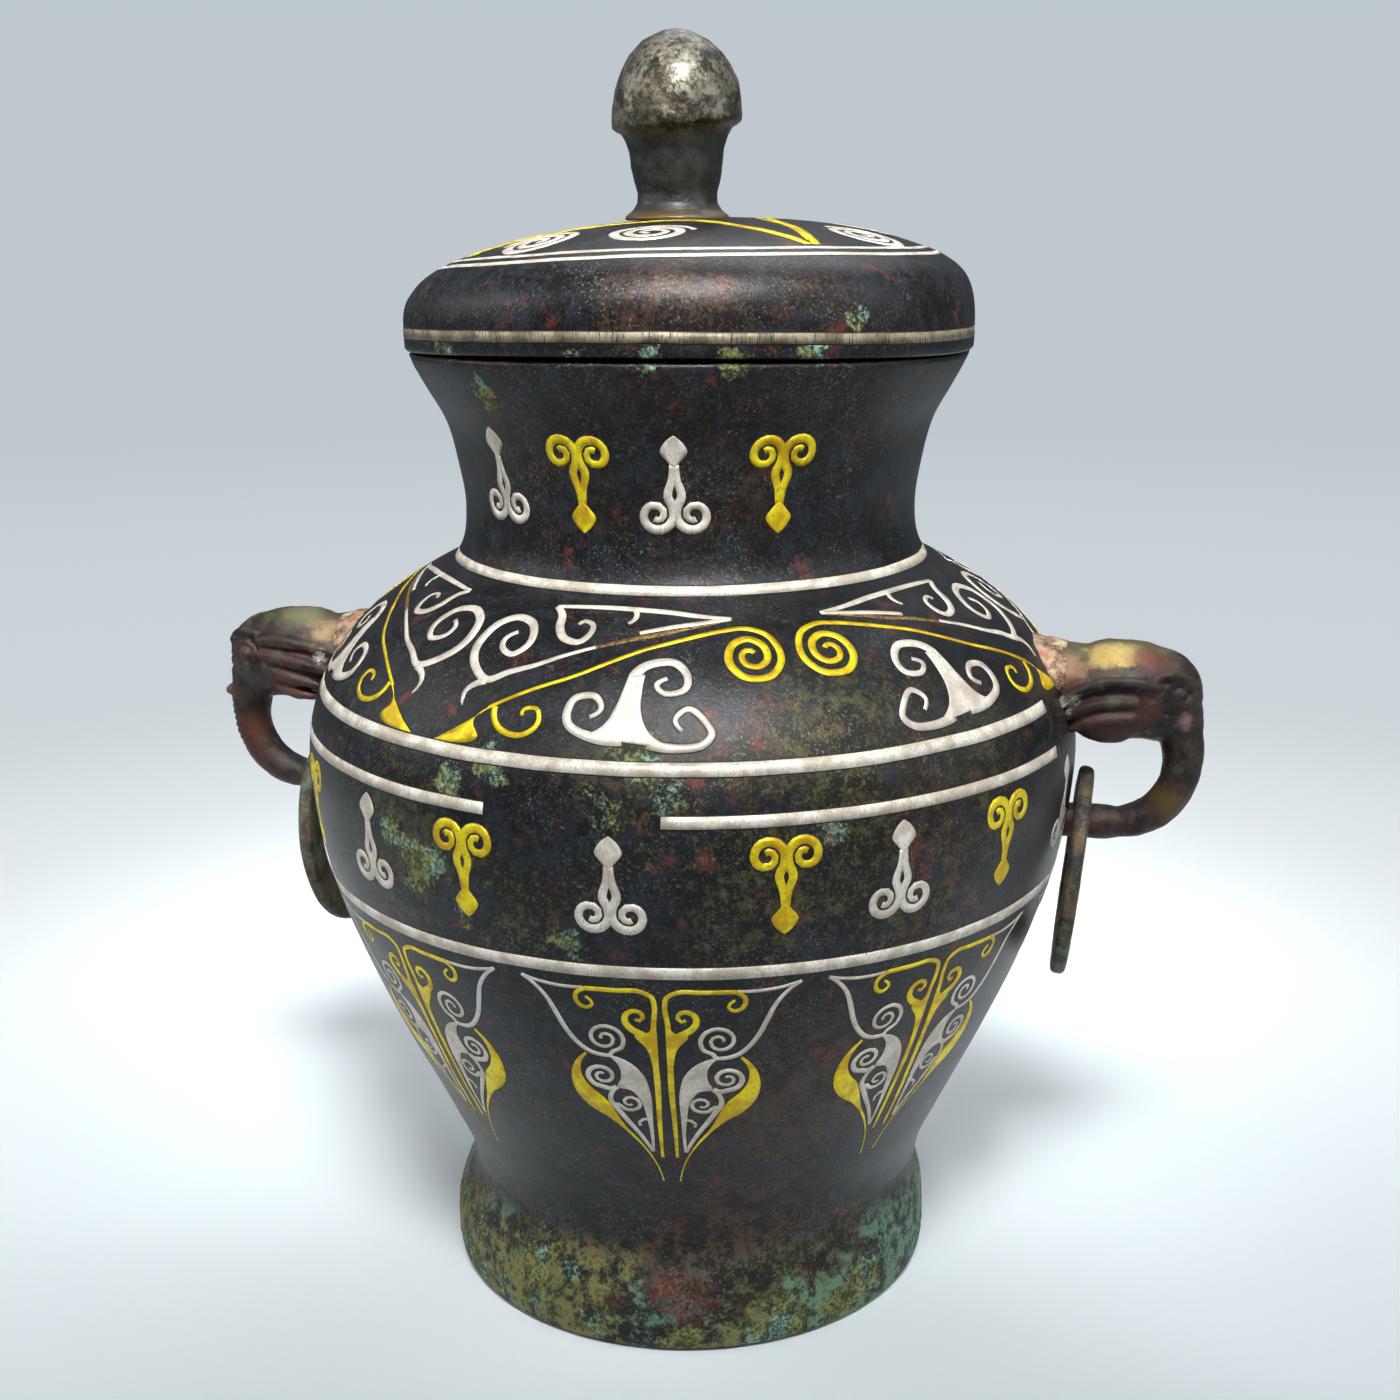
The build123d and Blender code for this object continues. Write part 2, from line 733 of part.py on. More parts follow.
# Every piece, named and written to its own file
pieces = {
    "jar_body": jar_body,
    "foot_ring": foot_ring,
    "lid_shell": lid_shell,
    "lid_knob": lid_knob,
    "right_handle": right_handle,
    "left_handle": left_handle,
    "right_handle_solder": right_handle_solder,
    "left_handle_solder": left_handle_solder,
    "right_ring": right_ring,
    "left_ring": left_ring,
    "neck_band": neck_band,
    "shoulder_band_upper": shoulder_band_upper,
    "shoulder_band_lower": shoulder_band_lower,
    "belly_band": belly_band,
    "lid_rim_band": lid_rim_band,
    "lid_edge_lines": lid_edge_lines,
    "shoulder_scrolls_gold": shoulder_scrolls_gold,
    "shoulder_scrolls_silver": shoulder_scrolls_silver,
    "belly_blades_gold": belly_blades_gold,
    "belly_blades_silver": belly_blades_silver,
    "belly_motifs_gold": belly_motifs_gold,
    "belly_motifs_silver": belly_motifs_silver,
    "neck_motifs_gold": neck_motifs_gold,
    "neck_motifs_silver": neck_motifs_silver,
    "lid_scrolls_gold": lid_scrolls_gold,
    "lid_scrolls_silver": lid_scrolls_silver,
}
for name, piece in pieces.items():
    piece.part.label = name
    export_step(piece.part, f"parts/{name}.step")
    print(name, len(piece.part.solids()), "solids", round(piece.part.volume), "mm3")
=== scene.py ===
from math import cos, hypot, pi, radians, sin

import bmesh
import bpy
from mathutils import Matrix, Vector, noise


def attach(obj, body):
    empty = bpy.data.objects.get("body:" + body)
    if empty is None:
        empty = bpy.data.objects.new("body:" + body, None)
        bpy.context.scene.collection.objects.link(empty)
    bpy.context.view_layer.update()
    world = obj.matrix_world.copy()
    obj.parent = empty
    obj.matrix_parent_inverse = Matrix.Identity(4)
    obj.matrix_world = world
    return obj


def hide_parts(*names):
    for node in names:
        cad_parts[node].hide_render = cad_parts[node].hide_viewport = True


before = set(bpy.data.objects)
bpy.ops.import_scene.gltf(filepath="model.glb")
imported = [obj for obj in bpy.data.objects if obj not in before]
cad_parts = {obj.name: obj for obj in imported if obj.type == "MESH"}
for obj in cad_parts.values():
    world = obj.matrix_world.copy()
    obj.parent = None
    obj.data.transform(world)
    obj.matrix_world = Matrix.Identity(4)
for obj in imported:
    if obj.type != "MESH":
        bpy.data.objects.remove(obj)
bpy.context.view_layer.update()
mm = 0.001
print("frame loaded")


# ---- shared: lines, surfaces and meshes; every size below is in millimetres

def smoothLine(points, spacing):
    # a smooth line through the points, cut into short steps of about the spacing
    knots = [Vector(point) for point in points]
    gaps = [max((after - before).length, 1e-6) for before, after in zip(knots, knots[1:])]
    slopes = [(after - before) / gap for before, after, gap in zip(knots, knots[1:], gaps)]
    turns = [slopes[0]]
    for index in range(1, len(slopes)):
        first, second = gaps[index - 1], gaps[index]
        turns.append((slopes[index - 1] * second + slopes[index] * first) / (first + second))
    turns[0] = 2 * slopes[0] - turns[1] if len(turns) > 1 else slopes[0]
    turns.append(2 * slopes[-1] - turns[-1])
    line = [knots[0]]
    for index, gap in enumerate(gaps):
        steps = max(round(gap / spacing), 1)
        for step in range(1, steps + 1):
            t = step / steps
            start = knots[index] * (2 * t ** 3 - 3 * t ** 2 + 1) + turns[index] * gap * (t ** 3 - 2 * t ** 2 + t)
            end = knots[index + 1] * (3 * t ** 2 - 2 * t ** 3) + turns[index + 1] * gap * (t ** 3 - t ** 2)
            line.append(start + end)
    return line


def pointAt(line, lengths, distance):
    # the point at a distance along a line whose running lengths are known
    low, high = 0, len(line) - 1
    while high - low > 1:
        middle = (low + high) // 2
        if lengths[middle] <= distance:
            low = middle
        else:
            high = middle
    gap = lengths[high] - lengths[low]
    t = (distance - lengths[low]) / gap if gap else 0.0
    return line[low].lerp(line[high], max(-0.5, min(1.5, t)))


def evenLine(line, count):
    # the same line in a given number of equal steps
    lengths = [0.0]
    for before, after in zip(line, line[1:]):
        lengths.append(lengths[-1] + (after - before).length)
    return [pointAt(line, lengths, lengths[-1] * step / count) for step in range(count + 1)]


class TurnedSide:
    # the outside of a turned piece, read by distance along its outline
    def __init__(self, points, startAt=0.0):
        self.line = smoothLine(points, 0.6)
        self.lengths = [-startAt]
        for before, after in zip(self.line, self.line[1:]):
            self.lengths.append(self.lengths[-1] + (after - before).length)

    def spot(self, distance):
        # radius and height, and the way outwards
        here = pointAt(self.line, self.lengths, distance)
        ahead = pointAt(self.line, self.lengths, distance + 0.5)
        behind = pointAt(self.line, self.lengths, distance - 0.5)
        run = (ahead - behind).normalized()
        return here, Vector((run.y, -run.x))

    def atHeight(self, height):
        # distance along the outline at a height
        low, high = 0, len(self.line) - 1
        while high - low > 1:
            middle = (low + high) // 2
            if self.line[middle].y < height:
                low = middle
            else:
                high = middle
        t = (height - self.line[low].y) / (self.line[high].y - self.line[low].y)
        return self.lengths[low] + t * (self.lengths[high] - self.lengths[low])


def onTurn(angle, radius, height):
    # a place at an angle from the front, towards the right handle
    return Vector((radius * sin(angle), -radius * cos(angle), height)) * mm


def dent(angle, height):
    # the casting's slight unevenness, outwards
    place = Vector((cos(angle) * 2.2, sin(angle) * 2.2, height / 34.0))
    return 0.22 * noise.noise(place) + 0.1 * noise.noise(place * 2.7)


def addPiece(name, bm, finishes, body, nodes, weld=False, smooth=True):
    # the finished mesh as a piece that rides on its body and stands for its nodes
    if weld:
        bmesh.ops.remove_doubles(bm, verts=bm.verts, dist=0.00001)
        bmesh.ops.recalc_face_normals(bm, faces=bm.faces)
    for face in bm.faces:
        face.smooth = smooth
    mesh = bpy.data.meshes.new(name)
    bm.to_mesh(mesh)
    bm.free()
    piece = bpy.data.objects.new(name, mesh)
    bpy.context.scene.collection.objects.link(piece)
    for finish in finishes:
        mesh.materials.append(finish)
    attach(piece, body)
    if nodes:
        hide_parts(*nodes)
    return piece


def turnOutline(bm, points, steps, centre=(0.0, 0.0)):
    # an outline of radius and height turned right round
    made = [bm.verts.new((radius * mm, 0, height * mm)) for radius, height in points]
    edges = [bm.edges.new(pair) for pair in zip(made, made[1:])]
    bmesh.ops.spin(
        bm, geom=made + edges, cent=(0, 0, 0), axis=(0, 0, 1), dvec=(0, 0, 0),
        angle=2 * pi, steps=steps, use_merge=True, use_normal_flip=False, use_duplicate=False,
    )
    bmesh.ops.remove_doubles(bm, verts=bm.verts, dist=0.00001)
    bmesh.ops.translate(bm, verts=bm.verts, vec=(centre[0] * mm, centre[1] * mm, 0))
    bmesh.ops.recalc_face_normals(bm, faces=bm.faces)


def curl(centre, startRadius, endRadius, startAngle, turns):
    # points of a spiral that winds in from its start radius, anticlockwise for positive turns
    steps = max(round(abs(turns) * 9), 4)
    points = []
    for step in range(steps + 1):
        share = step / steps
        reach = startRadius + (endRadius - startRadius) * share
        angle = radians(startAngle + 360 * turns * share)
        points.append((centre[0] + reach * cos(angle), centre[1] + reach * sin(angle)))
    return points


# ---- finishes

class Wire:
    # one output of a finish's nodes; Python's own operators on it add Math nodes
    def __init__(self, finish, socket):
        self.finish, self.socket = finish, socket

    def maths(self, operation, first, second):
        return self.finish.node("Math", {"operation": operation}, {0: first, 1: second})

    def __add__(self, other):
        return self.maths("ADD", self, other)

    def __radd__(self, other):
        return self.maths("ADD", other, self)

    def __sub__(self, other):
        return self.maths("SUBTRACT", self, other)

    def __rsub__(self, other):
        return self.maths("SUBTRACT", other, self)

    def __mul__(self, other):
        return self.maths("MULTIPLY", self, other)

    def __rmul__(self, other):
        return self.maths("MULTIPLY", other, self)

    def __pow__(self, other):
        return self.maths("POWER", self, other)


class Finish:
    # a material under way, whose patterns are read in millimetres of the jar's own frame
    def __init__(self, name):
        self.material = bpy.data.materials.new(name)
        self.material.use_nodes = True
        self.tree = self.material.node_tree
        self.tree.nodes.clear()
        place = self.node("TexCoord", out="Object")
        self.place = self.node("VectorMath", {"operation": "SCALE"}, {0: place, "Scale": 1000.0})

    def node(self, kind, settings=None, sockets=None, out=0):
        # any node: its type, then its settings, then the values or links of its sockets
        made = self.tree.nodes.new("ShaderNode" + kind)
        for key, value in (settings or {}).items():
            setattr(made, key, value)
        for key, value in (sockets or {}).items():
            if isinstance(value, Wire):
                self.tree.links.new(value.socket, made.inputs[key])
            else:
                made.inputs[key].default_value = value
        return Wire(self, made.outputs[out]) if made.outputs else made

    def cloud(self, size, detail=4.0, rough=0.55, stretch=(1, 1, 1), shift=(0, 0, 0)):
        # soft noise whose blobs are about that many millimetres wide
        spot = self.node("Mapping", {}, {"Vector": self.place, "Location": shift, "Scale": stretch})
        return self.node("TexNoise", {}, {
            "Vector": spot, "Scale": 1.0 / size, "Detail": detail, "Roughness": rough,
        })

    def step(self, value, low, high):
        # 0 below low and 1 above high, soft between
        return self.node("MapRange", {"interpolation_type": "SMOOTHSTEP"}, {
            "Value": value, "From Min": low, "From Max": high,
        })

    def near(self, centre, radius, soft, edge=None):
        # 1 inside a ball, 0 outside, with an edge that a noise may fray
        away = self.node("VectorMath", {"operation": "DISTANCE"}, {0: self.place, 1: centre}, out="Value")
        if edge is not None:
            away = away + (edge - 0.5) * (radius * 4.0)
        return 1.0 - self.step(away, radius - soft, radius + soft)

    def colour(self, mask, first, second):
        # one colour over another where the mask is 1
        return self.node("Mix", {"data_type": "RGBA"}, {0: mask, 6: first, 7: second}, out=2)

    def height(self):
        split = self.node("SeparateXYZ", {}, {0: self.place}, out=2)
        return split

    def done(self, base, rough, metal, bump=None, depth=0.1, strength=1.0, coat=0.0, coatRough=0.3):
        sockets = {"Base Color": base, "Roughness": rough, "Metallic": metal}
        if bump is not None:
            sockets["Normal"] = self.node("Bump", {}, {
                "Height": bump, "Distance": depth * mm, "Strength": strength,
            })
        if coat:
            sockets["Coat Weight"], sockets["Coat Roughness"] = coat, coatRough
        shader = self.node("BsdfPrincipled", {}, sockets)
        self.node("OutputMaterial", {}, {"Surface": shader})
        return self.material


def tint(red, green, blue):
    # a colour from screen values of 0 to 255
    linear = []
    for value in (red, green, blue):
        share = value / 255
        linear.append(share / 12.92 if share < 0.04045 else ((share + 0.055) / 1.055) ** 2.4)
    return (*linear, 1.0)


def spotAt(angle, radius, height):
    return (radius * sin(radians(angle)), -radius * cos(radians(angle)), height)


# stains on the dark bronze: angle from the front, radius, height and size of each patch, and how much
greenSpots = [
    (-25.5, 102, 140, 8, 1.0), (-19, 102, 129, 5, 0.9), (-32, 102, 148, 5, 0.7), (-20.5, 101, 160, 5, 0.9),
    (-14.5, 99, 166, 5, 1.0), (1.5, 100, 157, 5, 0.8), (-4, 101, 127, 5, 0.9), (30, 102, 152, 5, 0.8),
    (9, 100, 163, 6, 0.7), (3, 95, 173, 8, 0.7), (-46, 102, 134, 6, 0.6), (-33, 65, 246, 6, 1.0),
    (-40, 78, 187, 7, 0.5), (-1, 66, 247, 4, 0.6), (40, 71, 250, 6, 0.6), (-25, 66, 14, 11, 1.0),
    (-60, 66, 14, 10, 1.0), (-44, 66, 5, 9, 0.8), (10, 66, 1.5, 8, 0.9), (32, 66, 5, 10, 1.0),
    (52, 66, 8, 10, 0.9), (-10, 66, 4, 6, 0.7), (150, 66, 12, 16, 0.9), (200, 102, 132, 14, 0.9),
    (250, 97, 112, 11, 0.7), (120, 90, 92, 11, 0.7), (170, 82, 184, 11, 0.7), (100, 100, 150, 9, 0.7),
    (280, 66, 8, 12, 0.9), (225, 66, 16, 12, 0.9), (-8, 73, 254, 3, 0.8), (6, 73, 254, 4, 0.9), (20, 73, 253.5, 4, 0.9),
    (34, 73, 255, 4, 0.9), (44, 73, 262, 4, 0.8), (-40, 73, 254, 5, 0.8), (160, 73, 255, 6, 0.8), (250, 73, 256, 5, 0.8),
]
oliveSpots = [
    (-30, 102, 142, 26, 1.0), (-8, 101, 130, 16, 0.8), (22, 101, 140, 28, 0.9), (48, 101, 132, 22, 0.8),
    (0, 98, 168, 20, 0.8), (34, 92, 176, 24, 0.9), (58, 98, 164, 18, 0.8), (-58, 98, 160, 18, 0.6),
    (-36, 72, 48, 16, 0.7), (-30, 66, 12, 18, 1.0), (-8, 66, 10, 10, 0.9), (36, 66, 8, 24, 0.9),
    (140, 96, 110, 34, 0.9), (210, 98, 160, 30, 0.9), (255, 66, 20, 26, 0.9), (100, 70, 20, 24, 0.9),
    (170, 66, 14, 26, 0.9), (310, 68, 20, 20, 0.8), (-60, 68, 262, 16, 0.7), (70, 72, 260, 18, 0.7),
]
brownSpots = [
    (30, 88, 76, 32, 0.9), (24, 66, 34, 20, 1.0), (6, 66, 25, 11, 0.9), (26, 66, 22, 12, 1.0),
    (48, 64, 24, 12, 0.8), (14, 62, 218, 18, 0.6), (-16, 60, 214, 12, 0.5), (44, 100, 150, 24, 0.7),
    (-46, 76, 62, 16, 0.6), (6, 72, 260, 22, 0.6), (40, 72, 262, 14, 0.5), (-32, 63, 232, 14, 0.7),
    (24, 93, 174, 14, 0.7), (150, 96, 140, 34, 0.8), (230, 88, 80, 30, 0.8), (196, 64, 226, 24, 0.7),
    (300, 70, 30, 20, 0.7), (-30, 66, 24, 8, 0.8),
]
redSpots = [
    (10, 66, 14, 7, 1.0), (-5, 66, 13, 4, 0.9), (4, 66, 18, 4, 0.8), (14, 96, 170, 9, 0.8), (21, 99, 161, 8, 0.7),
    (-27, 95, 171, 7, 0.7), (44, 101, 136, 12, 0.7), (-10, 72, 257, 8, 0.6), (36, 72, 256, 8, 0.6),
    (-70, 98, 120, 12, 0.7), (160, 90, 90, 14, 0.8), (240, 100, 150, 12, 0.8), (210, 66, 10, 10, 0.8),
]


def stains(f, spots, frayed, soft=0.6):
    # how strongly the patches of one list show at a place
    total = 0.0
    for angle, radius, height, size, much in spots:
        patch = f.near(spotAt(angle, radius, height), size, size * soft, frayed) * much
        total = patch if isinstance(total, float) else total + patch
    return total


def darkBronze(name, foot=False):
    f = Finish(name)
    wide = f.cloud(40, 4.0, 0.6)
    medium = f.cloud(10, 6.0, 0.7, shift=(40, 10, 5))
    small = f.cloud(3.0, 5.0, 0.7, shift=(5, 50, 20))
    fine = f.cloud(0.9, 4.0, 0.7, shift=(7, 3, 9))
    grain = f.cloud(0.42, 2.0, 0.6)
    pitted = 1.0 - f.step(f.height() + medium * 8.0, 24.0, 36.0) if foot else 0.0
    mottle = medium * 0.38 + small * 0.34 + fine * 0.28
    base = f.colour(f.step(mottle, 0.45, 0.57), tint(9, 11, 14), tint(33, 38, 44))
    brown = f.step(stains(f, brownSpots, medium) + f.step(wide, 0.54, 0.68) * 0.4, 0.3, 1.0)
    base = f.colour(brown * 0.85, base, f.colour(f.step(mottle, 0.45, 0.56), tint(19, 14, 11), tint(74, 54, 38)))
    olive = stains(f, oliveSpots, medium) + pitted * 0.3
    olive = f.step(olive * (small * 0.9 + medium * 0.9), 0.55, 1.0)
    base = f.colour(olive * 0.75, base, f.colour(f.step(mottle, 0.46, 0.56), tint(17, 20, 13), tint(86, 84, 42)))
    redness = stains(f, redSpots, small)
    red = f.step(f.cloud(7, 6.0, 0.7, shift=(90, 30, 60)) + redness * 0.1, 0.575, 0.66)
    base = f.colour(red * f.step(small, 0.4, 0.56) * 0.85, base, tint(96, 42, 34))
    if foot:
        bare = f.step(stains(f, brownSpots, medium) + redness, 0.2, 0.7)
        patina = pitted * f.step(medium * 0.55 + small * 0.45, 0.44, 0.54) * (1.0 - bare * 0.8)
        lime = f.colour(f.step(wide, 0.46, 0.56), tint(134, 130, 70), tint(108, 146, 118))
        base = f.colour(patina * 0.85, base, f.colour(f.step(mottle, 0.44, 0.55), tint(40, 54, 34), lime))
        rosy = f.step(redness * (small + medium * 0.6 + fine * 0.5), 0.75, 1.15)
        base = f.colour(rosy * 0.4, base, f.colour(f.step(fine, 0.45, 0.55), tint(92, 52, 44), tint(168, 112, 96)))
    haze = f.step(f.cloud(15, 5.0, 0.6, shift=(15, 80, 33)), 0.47, 0.6)
    pale = f.step(fine * 0.5 + grain * 0.5, 0.55, 0.62) * (0.25 + haze * 0.75)
    base = f.colour(pale * 0.5, base, tint(138, 136, 120))
    crust = f.step(stains(f, greenSpots, medium, 0.7) * (small * 1.2 + fine * 0.9), 0.62, 1.0)
    blue = f.step(f.cloud(8, 4.0, 0.6, shift=(3, 60, 20)), 0.48, 0.58)
    dark = f.colour(blue, tint(48, 58, 28), tint(34, 68, 56))
    light = f.colour(blue, tint(140, 140, 78), tint(142, 178, 158))
    base = f.colour(crust * 0.92, base, f.colour(f.step(fine * 0.6 + small * 0.4, 0.44, 0.6), dark, light))
    rough = 0.2 + small * 0.2 + fine * 0.14 + crust * 0.3 + pale * 0.12 + pitted * 0.16
    metal = 0.35 - crust * 0.33 - pale * 0.2
    relief = grain * 0.5 + fine * (0.9 + pitted) + small * (0.7 + pitted * 2.0) + medium * (0.6 + pitted * 3.0)
    return f.done(base, rough, metal, relief + crust * 1.2, depth=0.3 if foot else 0.14)


def goldStrip():
    f = Finish("goldStrip")
    cloud = f.cloud(6, 5.0, 0.65)
    fine = f.cloud(0.7, 4.0, 0.65)
    scratch = f.cloud(1.0, 3.0, 0.6, stretch=(1.0, 1.0, 0.12))
    base = f.colour(f.step(cloud, 0.4, 0.6), tint(200, 164, 16), tint(240, 220, 36))
    base = f.colour(f.step(fine * 0.5 + cloud * 0.5, 0.56, 0.66) * 0.6, base, tint(132, 106, 22))
    rough = 0.3 + fine * 0.2 + scratch * 0.1
    return f.done(base, rough, 0.5 - f.step(fine, 0.6, 0.7) * 0.3, fine * 0.8 + scratch * 0.6, depth=0.06)


def silverStrip(name, light, shade, dark, hatched):
    # light and shade are the metal's own colours; dark shows in its scratches and pits
    f = Finish(name)
    cloud = f.cloud(7, 5.0, 0.65)
    fine = f.cloud(0.6, 4.0, 0.65)
    hatch = f.cloud(0.42, 2.0, 0.5, stretch=(1.8, 1.8, 0.14))
    base = f.colour(f.step(cloud, 0.4, 0.6), tint(*shade), tint(*light))
    base = f.colour(f.step(hatch, 0.55, 0.66) * hatched, base, tint(*dark))
    base = f.colour(f.step(fine * 0.55 + cloud * 0.45, 0.57, 0.66) * 0.6, base, tint(*dark))
    return f.done(base, 0.38 + fine * 0.18, 0.25, hatch * 0.8 + fine * 0.6, depth=0.06)


def stripBed(name, dark, light):
    f = Finish(name)
    fine = f.cloud(0.9, 4.0, 0.65)
    base = f.colour(f.step(fine, 0.4, 0.62), tint(*dark), tint(*light))
    return f.done(base, 0.5 + fine * 0.25, 0.2, fine, depth=0.08)


finishes = {
    "bronze": darkBronze("darkBronze"),
    "rough": darkBronze("pittedBronze", foot=True),
    "gold": goldStrip(),
    "silver": silverStrip("silverStrip", (222, 216, 204), (190, 181, 166), (92, 84, 70), 0.35),
    "paleSilver": silverStrip("beltSilver", (232, 226, 212), (190, 180, 162), (98, 90, 74), 0.45),
    "brass": silverStrip("rimBrass", (150, 140, 116), (100, 92, 70), (30, 32, 26), 1.0),
    "bed": stripBed("stripBed", (16, 16, 15), (44, 38, 28)),
    "worn": stripBed("wornStrip", (66, 50, 22), (150, 118, 54)),
}
print("finishes ready")


# ---- jar body and ring foot

jar = {
    "belly": [
        (62.6, 27), (64.2, 35), (70.6, 50), (82.4, 75), (92.7, 100), (99, 120), (102, 138), (102.6, 150),
        (101, 160.5), (96, 172), (87.6, 182.5), (76.6, 191), (62.3, 199),
    ],
    "neck": [
        (62.3, 199), (60, 203.5), (58.9, 212), (60.4, 224), (63.3, 235), (68, 243.5), (71.2, 249.5), (71.9, 251.2),
    ],
    "lip": [(71.3, 251.8), (69.4, 251.9), (68.5, 251.2)],
    "neckInside": [(67.2, 248), (64.4, 243.5), (59.8, 235), (56.9, 224), (55.4, 212), (56.5, 203.5), (58.8, 198)],
    "bellyInside": [(74, 188), (84.6, 180), (92.8, 170), (97.6, 159.5), (99.1, 150), (98.5, 138), (95.6, 120.6),
                    (89.4, 101), (79.2, 76.4), (67.4, 51.4), (61.2, 37), (57.5, 32), (40, 31), (0, 31)],
    "underside": [(0, 27.02), (40, 27.02), (62.6, 27.02)],
    "foot": [
        (57.6, 0.4), (58.4, 0.1), (65.0, 0.1), (66.2, 0.9), (66.9, 3.6), (67.1, 8), (66.9, 12), (66.3, 16.5),
        (65.2, 20.5), (64.0, 24), (63.2, 27.2), (63.2, 30.4), (63.6, 33.4),
    ],
    "footInside": [(63.0, 34.4), (61.6, 32), (60.9, 29.5), (57.6, 27), (57.6, 0.4)],
    "footBlend": (14, 30),
    "frontRise": (1.5, 235, 252),
    "footCentre": (-1.6, -0.3),
}
bellySide = TurnedSide(jar["belly"], startAt=1.04)
neckSide = TurnedSide(jar["neck"])


def frontRise(place, most, low, high):
    # how much higher the mouth or the lid sits at its front than at its sides
    reach = max(hypot(place.x, place.y), 0.001)
    facing = max(0.0, -place.y / reach)
    ramp = max(0.0, min(1.0, (place.z - low) / (high - low)))
    return most * facing * facing * ramp * ramp * (3 - 2 * ramp) * min(1.0, (reach / 58) ** 2)


def roughen(bm, reach, size, amount, seed=0.0):
    # small lumps square to a surface, between two heights that reach gives
    for vertex in bm.verts:
        place = vertex.co / mm
        fade = max(0.0, min(1.0, (reach[1] - place.z) / 8)) * max(0.0, min(1.0, (place.z - reach[0]) / 2))
        lump = noise.fractal(place / size + Vector((seed, 0, 0)), 0.8, 2.1, 4)
        out = Vector((place.x, place.y, 0)).normalized()
        vertex.co += out * lump * amount * fade * mm


bm = bmesh.new()
outline = [tuple(spot) for spot in evenLine(bellySide.line, 150)] + [tuple(spot) for spot in evenLine(neckSide.line, 50)[1:]]
outline += jar["lip"] + jar["neckInside"] + jar["bellyInside"] + jar["underside"]
turnOutline(bm, outline, 288)
for vertex in bm.verts:
    place = vertex.co / mm
    reach = hypot(place.x, place.y)
    if reach > 58.6 and place.z < 250:
        angle = pi / 2 + Vector((place.x, place.y)).angle_signed(Vector((1, 0)))
        shrink = dent(angle, place.z) / reach
        vertex.co.x += vertex.co.x * shrink
        vertex.co.y += vertex.co.y * shrink
    vertex.co.z += frontRise(place, *jar["frontRise"]) * mm
jarBody = addPiece("jarBody", bm, [finishes["bronze"]], "jar", ["jar_body"])

bm = bmesh.new()
footLine = evenLine(smoothLine(jar["foot"], 1.0), 64)
turnOutline(bm, [tuple(spot) for spot in footLine] + jar["footInside"], 220)
for vertex in bm.verts:
    low, high = jar["footBlend"]
    share = 1 - max(0.0, min(1.0, (vertex.co.z / mm - low) / (high - low)))
    vertex.co += Vector((*jar["footCentre"], 0)) * share * mm
roughen(bm, (2.0, 30.0), 7.0, 0.35)
ringFoot = addPiece("ringFoot", bm, [finishes["rough"]], "jar", ["foot_ring"])
print("jar body and foot made")


# ---- lid and knob

lid = {
    "outside": [
        (73, 258), (72.9, 261.5), (72, 265.5), (69.5, 269.4), (64.5, 273.2), (58, 276), (48, 279.2), (36, 281.6),
        (15, 284), (0, 284.5),
    ],
    "frontRise": (2.5, 240, 252),
    "tilt": 0.03,
    "edge": [(72.4, 252.1), (72.9, 252.7), (73, 254.5)],
    "inside": [(0, 280.7), (36, 277.8), (50, 274.6), (58, 270.6), (58, 243.6), (58.6, 243), (60.4, 243), (61, 243.6),
               (61, 268), (64.5, 268), (68.6, 260), (69.2, 252.6), (69.8, 252.1)],
    "knobCentre": (-2.7, -0.6),
    "knob": [
        (0, 330), (3.4, 329.5), (8.4, 327.2), (12, 323.8), (14.2, 320.4), (15.8, 316.4), (16.6, 312), (16.8, 308.6),
        (16.5, 307), (15.6, 306.2), (14.3, 305.6), (13.2, 303.8), (12.3, 301), (11.8, 297), (11, 293.4), (10.2, 290.4),
        (10.3, 288), (11.4, 286.2), (13.2, 284.8), (13.3, 283.8), (0, 283.8),
    ],
    "tenon": [(0, 283.7), (4.4, 283.7), (4.4, 279.8), (6.8, 279.7), (7, 279), (6.6, 278.3), (0, 278.2)],
}
lidSide = TurnedSide(list(reversed(lid["outside"])))


def lidSettle(place):
    # the cast lid isn't level: its front stands higher, its dome leans, and it's slightly uneven
    ramp = max(0.0, min(1.0, (place.z - 258) / 10))
    uneven = 0.25 * min(1.0, max(0.0, place.z - 259) / 8) * noise.noise(place / 26)
    return frontRise(place, *lid["frontRise"]) + lid["tilt"] * place.x * ramp + uneven


bm = bmesh.new()
outline = lid["edge"] + [tuple(spot) for spot in evenLine(smoothLine(lid["outside"], 0.6), 70)]
outline += lid["inside"] + [lid["edge"][0]]
turnOutline(bm, outline, 256)
for vertex in bm.verts:
    vertex.co.z += lidSettle(vertex.co / mm) * mm
lidShell = addPiece("lidShell", bm, [finishes["bronze"]], "lid", ["lid_shell"])


